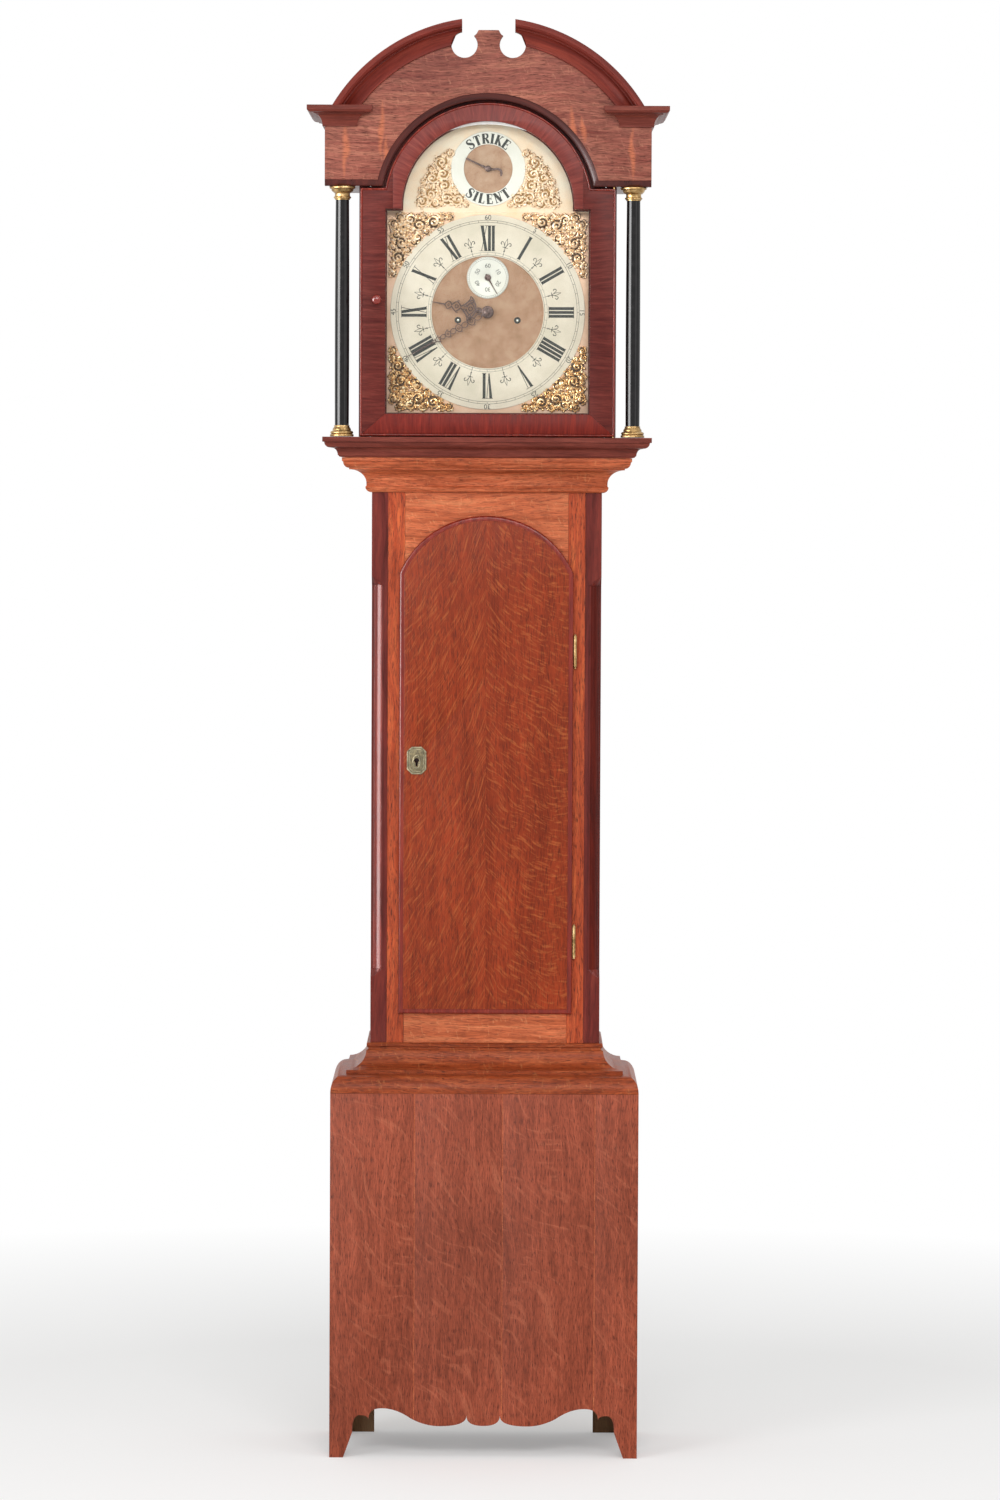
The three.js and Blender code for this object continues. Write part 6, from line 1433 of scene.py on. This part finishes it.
minuteFret = [
    [(0, 6, 4.4), (0, 11, 2.8)],
    *[[(0.4, centre - half, 1.4), (wide * 0.85, centre - half * 0.45, 1.3), (wide, centre + half * 0.1, 1.1),
       (wide * 0.7, centre + half * 0.6, 1.3), (0.4, centre + half, 1.4)]
      for centre, wide, half in [(16, 3.8, 6), (27.5, 6.2, 6), (38.5, 3.9, 5.5), (48.5, 5.6, 5), (58, 3.5, 5),
                                 (67, 4.6, 4.5), (75.5, 3.0, 4.5), (83.5, 3.6, 4), (90.5, 2.2, 3.5)]],
    *[[(wide, centre, 1.1), (wide + 1.7, centre - 1.6, 1.0), (wide + 0.9, centre - 3.2, 0.8)]
      for centre, wide in [(27.5, 6.0), (48.5, 5.4), (67, 4.4), (83.5, 3.4)]],
    *[loopStroke(0, centre, radius, 0.9) for centre, radius in [(27.5, 2.2), (48.5, 1.8), (67, 1.4)]],
    [(0, 92, 2.2), (0, 112, 1.5), (0, 137.6, 0.8)],
]
pointerFret = [[(0, -1, 3.2), (0, 6, 3.4), (0, 14, 2.6), (0, 31, 2.3), (0, 33.5, 3.2), (0, 36.8, 0.8)],
               [(0.5, -2, 3.0), (2.4, -7, 2.6), (5.6, -12.5, 2.8), (5.6, -17.6, 3.3), (2.4, -20.6, 3.2),
                (-1.8, -21.4, 2.4)]]


def makeHands():
    steel, b = metal["blued steel"], handBuild
    hour = [fretMesh("hour fret", hourFret, *b["hour"], dialZ),
            turned("hour boss", b["hourBoss"], 0, 0, dialZ, forward=True),
            turned("hour pipe", b["hourPipe"], 0, 0, dialZ, forward=True, steps=24)]
    addPiece("hour_hand_fret", hour, [steel, steel, brass], "hour_hand", ["hour_hand"], 30)
    minute = [fretMesh("minute fret", minuteFret, *b["minute"], dialZ),
              turned("collet", b["collet"], 0, 0, dialZ, forward=True),
              pin("centre arbor", 0, dialZ, 2.2, 32, -79.2, 20)]
    addPiece("minute_hand_fret", minute, steel, "minute_hand", ["minute_hand"], 40)
    pointer = [fretMesh("pointer", pointerFret, *b["pointer"], strikeZ, mirrored=False),
               turned("pointer boss", b["pointerBoss"], 0, 0, strikeZ, forward=True, steps=32),
               pin("pointer stem", 0, strikeZ, 2.4, -62.1, -76.9, 20)]
    addPiece("strike_pointer", pointer, steel, "strike_silent_pointer", ["strike_silent_pointer"], 40)
    cap = turned("seconds boss", b["secondsBoss"], 0, 0, secondsZ, forward=True, steps=32)
    addPiece("seconds_boss", cap, steel, "seconds_arbor")


# Dial plate: planished round the edge, matted within the rings, with lined winding holes
dialBuild = {"half": 152.5, "archRadius": 129.0, "back": -69.8, "centreHole": 5.2, "windingHole": 4.9, "arborHole": 3,
             "matRadius": 83.6, "strikeMatRadius": 36.8, "skin": 0.12, "footX": 74, "footZ": 63.3, "footRadius": 2.5,
             "footEnds": (-70.5, -38.5), "square": 1.4, "squareEnds": (-72.4, -69.6),
             "sleeve": [(2.3, -70.2), (2.3, -72.8), (2.9, -73.3), (4.5, -73.3), (5.0, -72.9), (5.0, -72.4),
                        (4.8, -72.2), (4.8, -70.2), (2.3, -70.2)]}


def makeDialPlate():
    d, front = dialBuild, dialFrontY
    holes = [circleOutline(0, dialZ, d["centreHole"], 32), circleOutline(windingX, windingZ, d["windingHole"], 32),
             circleOutline(-windingX, windingZ, d["windingHole"], 32)]
    secondsHole, strikeHole = (circleOutline(0, z, d["arborHole"], 24) for z in (secondsZ, strikeZ))
    outline = breakArch(d["half"], dialZ - d["half"], dialZ + d["half"], d["archRadius"], archZ, 64)
    feet = [pin("foot", x, dialZ + z, d["footRadius"], *d["footEnds"])
            for x in (-d["footX"], d["footX"]) for z in (-d["footZ"], d["footZ"])]
    sheet = plate("sheet", [outline, *holes, secondsHole, strikeHole], front, d["back"], 0.15)
    # painted light: the arch is faced with a paler copy of the dial brass, lighter where the hood shades it
    upper = breakArch(d["half"] - 0.4, archZ - 6, archZ - 5, d["archRadius"] - 0.4, archZ, 64)
    arch = plate("arch", [upper, strikeHole], front - 0.1, front + 0.3)
    addPiece("dial_sheet", [sheet, *feet, arch], [*[metal["planished dial brass"]] * (len(feet) + 1),
             metal["brightened dial brass"]], "case", ["dial_plate"])
    mats = [plate("mat", outlines, front - d["skin"], front + 0.3) for outlines in (
        [circleOutline(0, dialZ, d["matRadius"], 96), *holes, secondsHole],
        [circleOutline(0, strikeZ, d["strikeMatRadius"], 64), strikeHole])]
    addPiece("dial_matting", mats, [metal["matted brass"], metal["rubbed brass"]], "case")
    # painted shade: the sleeves are black, for the shade deep in the winding holes
    sleeves = [turned("sleeve", d["sleeve"], side * windingX, 0, windingZ, forward=True, steps=32)
               for side in (-1, 1)]
    addPiece("winding_sleeves", sleeves, wax, "case")
    half = d["square"]
    for train, side in trains.items():
        corners = [(side * windingX + x, windingZ + z)
                   for x, z in ((-half, -half), (half, -half), (half, half), (-half, half))]
        square = plate("square", [corners], *d["squareEnds"], 0.3)
        addPiece("winding_square_" + train, square, metal["bright steel"], "barrel_" + train)


# Spandrels: cast scrolls and leaves on small grounds; a corner's are measured in from the corner of the dial
spandrelBuild = {
    "corner": 147.3, "reach": 98, "frontY": -73.5, "strand": 1.95, "sizes": [9.0, 7.6, 6.4, 5.2, 4.2, 3.3],
    "archReach": 107, "archFoot": 1857.5, "archInner": 22, "head": 22, "seed": 11,
}


# Circles of falling size are fitted in beside each other, and each one becomes a scroll.
def packCircles(inside, low, high, sizes, seed, taken=()):
    random = Random(seed)
    found = []
    for radius in sizes:
        for _ in range(700):
            x, z = random.uniform(low[0], high[0]), random.uniform(low[1], high[1])
            clear = all(math.dist((x, z), (a, b)) > 0.9 * (radius + r) for a, b, r in [*found, *taken])
            if clear and inside(x, z, radius):
                found.append((x, z, radius))
    return found


def scrollwork(circles, seed):
    random = Random(seed)
    lines = []
    for x, z, radius in circles:
        hand, start, weight = random.choice((-1, 1)), random.uniform(0, 360), min(1.0, 0.42 + radius / 11)
        lines.append(volute(x, z, radius, start, 1.3, hand, 1.0, weight, 8 + round(radius)))
        count = round(4 + 0.7 * radius)
        for i in range(count):
            angle = start + 360 * i / count + random.uniform(-14, 14)
            reach = radius * random.uniform(0.9, 1.04)
            foot = (x + reach * math.cos(math.radians(angle)), z + reach * math.sin(math.radians(angle)))
            lines.append(leaf(*foot, random.uniform(0.34, 0.52) * radius, angle + hand * 55, -hand * 1.3, 0.75,
                              weight * random.uniform(0.75, 1.05), 4))
        lines.append(leaf(x, z, radius * 0.5, start + 150, 1.6, 1.2, weight * 1.15, 4))
    return lines


def placeScrolls(lines, circles, place):
    frontY = spandrelBuild["frontY"]
    moved = []
    for line in lines:
        spots = [(place(x, z), lift, radius) for x, lift, z, radius in line]
        moved.append([(x, frontY - lift, z, radius) for (x, z), lift, radius in spots])
    # dark ground discs under the scrolls: tarnish and painted shade between them
    discs = []
    for index, (x, z, radius) in enumerate(circles):
        centre, wide = place(x, z), radius + 1.1
        rise = frontY + 0.02 * (index % 12)
        discs.append(turned("ground", [(0, -72.9), (wide, -72.9), (wide, rise + 0.5), (wide - 0.4, rise), (0, rise)],
                            centre[0], 0, centre[1], forward=True, steps=20))
    return moved, discs


def loopLine(x, z, radius, weight):
    return [(u, 1.0, v, weight) for u, v in arcPoints(x, z, radius, 0, 360, 18)]


def addSpandrel(name, lines, circles, place, strand, gilding, ground):
    moved, discs = placeScrolls(lines, circles, place)
    casting = scrollMesh("spandrel", moved, strand, metal[gilding])
    addPiece(name, [*discs, casting], [*[metal[ground]] * len(discs), metal[gilding]], "case",
             smoothTo=60)


def makeSpandrels():
    b = spandrelBuild
    corner, head, ringEdge = b["corner"], b["head"], chapterBuild["outer"] + 0.4

    def inCorner(x, z, radius):
        clear = math.dist((x, z), (corner, corner)) > ringEdge + radius * 0.9
        return clear and x - z > radius * 0.7 and z > radius + 1 and x < b["reach"] - radius

    def inArch(x, z, radius):
        clear = math.dist((x, z), (0, strikeZ)) > strikeBuild["outer"] + 0.6 + radius * 0.9
        return (clear and x > b["archInner"] + radius and z > b["archFoot"] + radius
                and math.dist((x, z), (0, archZ)) < b["archReach"] - radius)

    half = packCircles(inCorner, (0, 0), (b["reach"], 70), b["sizes"], b["seed"], [(head, head, 8.6)])
    lines = scrollwork(half, 3)
    lines += [[(z, lift, x, radius) for x, lift, z, radius in line] for line in lines]
    lines += [loopLine(head, head, 6.2, 1.3), loopLine(head, head, 3.4, 1.0)]
    lines += [leaf(x, z, 4.6, 36 * i, 0.5, 0.9, 1.15) for i, (x, z) in enumerate(circleOutline(head, head, 6.4, 10))]
    circles = [*half, *[(z, x, radius) for x, z, radius in half], (head, head, 10.5)]
    # painted light: the upper corners take a lighter copy of the gilding, against the hood's shade
    for level, signZ, gilding in (("lower_", -1, "gilt brass"), ("upper_", 1, "warm gilt brass")):
        for hand, signX in sides.items():
            addSpandrel("spandrel_" + level + hand, lines, circles,
                        lambda x, z: (signX * (corner - x), dialZ + signZ * (corner - z)), b["strand"], gilding,
                        "spandrel ground")
    circles = packCircles(inArch, (0, b["archFoot"]), (b["archReach"], 1965), b["sizes"], b["seed"])
    lines = scrollwork(circles, 5)
    # painted light: the arch's scrolls take the lightest gilding and a lighter ground, against the hood's shade
    for hand, side in sides.items():
        addSpandrel("arch_spandrel_" + hand, lines, circles, lambda x, z: (side * x, z), b["strand"] * 0.9,
                    "pale gilt brass", "rubbed ground")


# White crescent in the shape of putty, thickest at the crown of the arch: a painted highlight where the glass shines
# there. Its section, and its span in degrees
crescentBuild = {"section": [(0, 0), (4.6, 0), (4.6, 0.6), (1.2, 3.4), (0, 3.6)], "span": 54, "radius": 127.4,
              "front": -93.0, "thin": 0.04, "steps": 28}


def makeArchCrescent():
    b = crescentBuild
    vertices, count = [], b["steps"]
    for step in range(count + 1):
        turn = math.radians(90 + b["span"] * (step / count - 0.5))
        ease = max(math.sin(math.pi * step / count) ** 0.6, b["thin"])
        for reach, back in b["section"]:
            radius = b["radius"] - reach * ease
            vertices.append((radius * math.cos(turn), b["front"] - back * 0.35 * ease,
                             archZ + radius * math.sin(turn)))
    bead = rawMesh("putty", vertices, stripFaces(count + 1, len(b["section"])))
    addPiece("glass_putty", bead, metal["old putty"], "hood_door")


# Gut lines: the free run with its knot, and the turns that stay on their barrel
gutBuild = {"outer": 70.0, "inner": 24.1, "y": 8.0, "radius": 0.8, "seatboardFoot": 1593.8, "pulleyZ": 1369.8,
            "drum": 26.0, "turns": 9, "pitch": 1.75,
            "knotTurning": [(0.8, 0), (2.0, 0.8), (2.5, 2.6), (2.2, 4.6), (1.2, 5.8), (0.8, 5.8), (0.8, 0)]}


def gutTube(name, path):
    section = [(u, v, 0) for u, v in circleOutline(0, 0, gutBuild["radius"], 10)]
    return sweepRun(name, section, path, metal["twisted gut"])


def makeGutLines():
    g = gutBuild
    y, headZ, footZ, turns = g["y"], g["seatboardFoot"], g["pulleyZ"], g["turns"]
    middle, reach = (g["outer"] + g["inner"]) / 2, (g["outer"] - g["inner"]) / 2
    for train, side in trains.items():
        path = [(side * g["inner"], y, headZ - 0.3 - (headZ - footZ) * i / 24) for i in range(24)]
        path += [(side * x, y, z) for x, z in arcPoints(middle, footZ, reach, 180, 360, 24)]
        path += [(side * g["outer"], y, footZ + (windingZ - footZ) * i / 30) for i in range(1, 31)]
        knot = turned("knot", g["knotTurning"], side * g["inner"], y, headZ - 6.0, steps=20)
        line = addPiece("gut_run_" + train, [gutTube("gut", path), knot], metal["twisted gut"], None,
                        ["gut_line_" + train], 60)
        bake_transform(line)
        coil = [(side * x, y - g["pitch"] * i / 28, z) for i, (x, z) in enumerate(
            arcPoints(windingX, windingZ, g["drum"], 0, 360 * turns, 28 * turns))]
        addPiece("gut_turns_" + train, gutTube("turns", coil), metal["twisted gut"], "barrel_" + train,
                 smoothTo=60)


# Great wheels on the barrels, as front, radius and teeth, and the train, as x, z, front, radius, teeth and spokes
trainBuild = {
    "plates": (-35.3, 28.7), "rim": 3.0, "thick": 2.0, "arbor": 1.5, "pinion": 4.2, "tooth": 1.5,
    "wheels": [(0, 1702.8, -20.0, 28.0, 72, 4), (19, 1731.0, -26.5, 20.0, 60, 4), (-30, 1733.0, -19.0, 22.0, 64, 4),
               (-44, 1768.0, -25.0, 17.0, 56, 4), (-66, 1784.0, 6.0, 9.0, 30, 3)],
    "greatWheel": (-13.8, 37.2, 96),
}


def wheelTeeth(x, z, front, back, radius, count, rise):
    wide = math.pi * radius / count
    outline = [(-wide / 2, radius - 0.3), (wide / 2, radius - 0.3), (wide * 0.4, radius + rise * 0.55),
               (wide * 0.12, radius + rise), (-wide * 0.12, radius + rise), (-wide * 0.4, radius + rise * 0.55)]
    return marksRound("teeth", plate("tooth", [outline], front, back), count, 0, (x, 0, z), brass)


def makeTrain():
    b = trainBuild
    front, radius, teeth = b["greatWheel"]
    for train, side in trains.items():
        ring = wheelTeeth(side * windingX, windingZ, front, front + 4, radius, teeth, b["tooth"] + 0.6)
        addPiece("great_wheel_teeth_" + train, ring, brass, "barrel_" + train)
    wheels, arbors = [], []
    for x, z, front, radius, teeth, spokes in b["wheels"]:
        back, low = front + b["thick"], radius - b["rim"]
        spoke = plate("spoke", [[(-1.6, 0), (1.6, 0), (1.0, low + 0.3), (-1.0, low + 0.3)]], front + 0.2, back - 0.2)
        wheels += [flatRing("rim", low, radius, x, z, front, back, 0.15, 64),
                   wheelTeeth(x, z, front, back, radius, teeth, b["tooth"]),
                   marksRound("spokes", spoke, spokes, 20, (x, 0, z), brass),
                   pin("hub", x, z, 4.0, front - 1.5, back + 1.5, 24)]
        arbors.append(pin("pinion", x, z, b["pinion"], back + 2, back + 9))
        if x:  # the centre wheel turns on the minute hand's own arbor
            arbors.append(pin("arbor", x, z, b["arbor"], *b["plates"]))
    addPiece("train_wheels", wheels, brass, "case")
    addPiece("train_arbors", arbors, metal["filed steel"], "case")


for make in (makeBase, makeTrunk, makeHood, makeColumns, makeHoodDoor, makeDialPlate, makeChapterRing,
             makeSecondsDial, makeStrikeRing, makeSpandrels, makeHands, makeArchCrescent, makeGutLines, makeTrain):
    make()
    print("made:", make.__name__)

# Finishes of the pieces that keep the frame's own shape, by how their names start
finishes = {
    timber["oak, base boards"]: ["base_side"],
    timber["oak, rails"]: ["trunk_top_rail", "trunk_bottom_rail"],
    timber["oak, stiles"]: ["trunk_stile", "trunk_side"],
    timber["mahogany, upright"]: ["dial_mask", "hood_side"],
    timber["pine, backboards"]: ["backboard", "seatboard"],
    timber["pine, roof boards"]: ["hood_roof"],
    brass: ["trunk_hinge", "movement", "barrel", "escape_wheel", "pendulum_bob"],
    metal["filed steel"]: ["trunk_door_lock", "anchor", "pendulum_rod"],
    metal["blued steel"]: ["seconds_hand"],
    metal["bell bronze"]: ["bell"],
    metal["cast lead"]: ["weight"],
}
for nodeName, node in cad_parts.items():
    fitting = [finish for finish, starts in finishes.items() if nodeName.startswith(tuple(starts))]
    node.data.materials.clear()
    node.data.materials.append(fitting[0] if fitting else timber["mahogany, along x"])
print("frame pieces finished")

boxes = [list(corner) for corner in (cadLow, cadHigh, *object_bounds())]
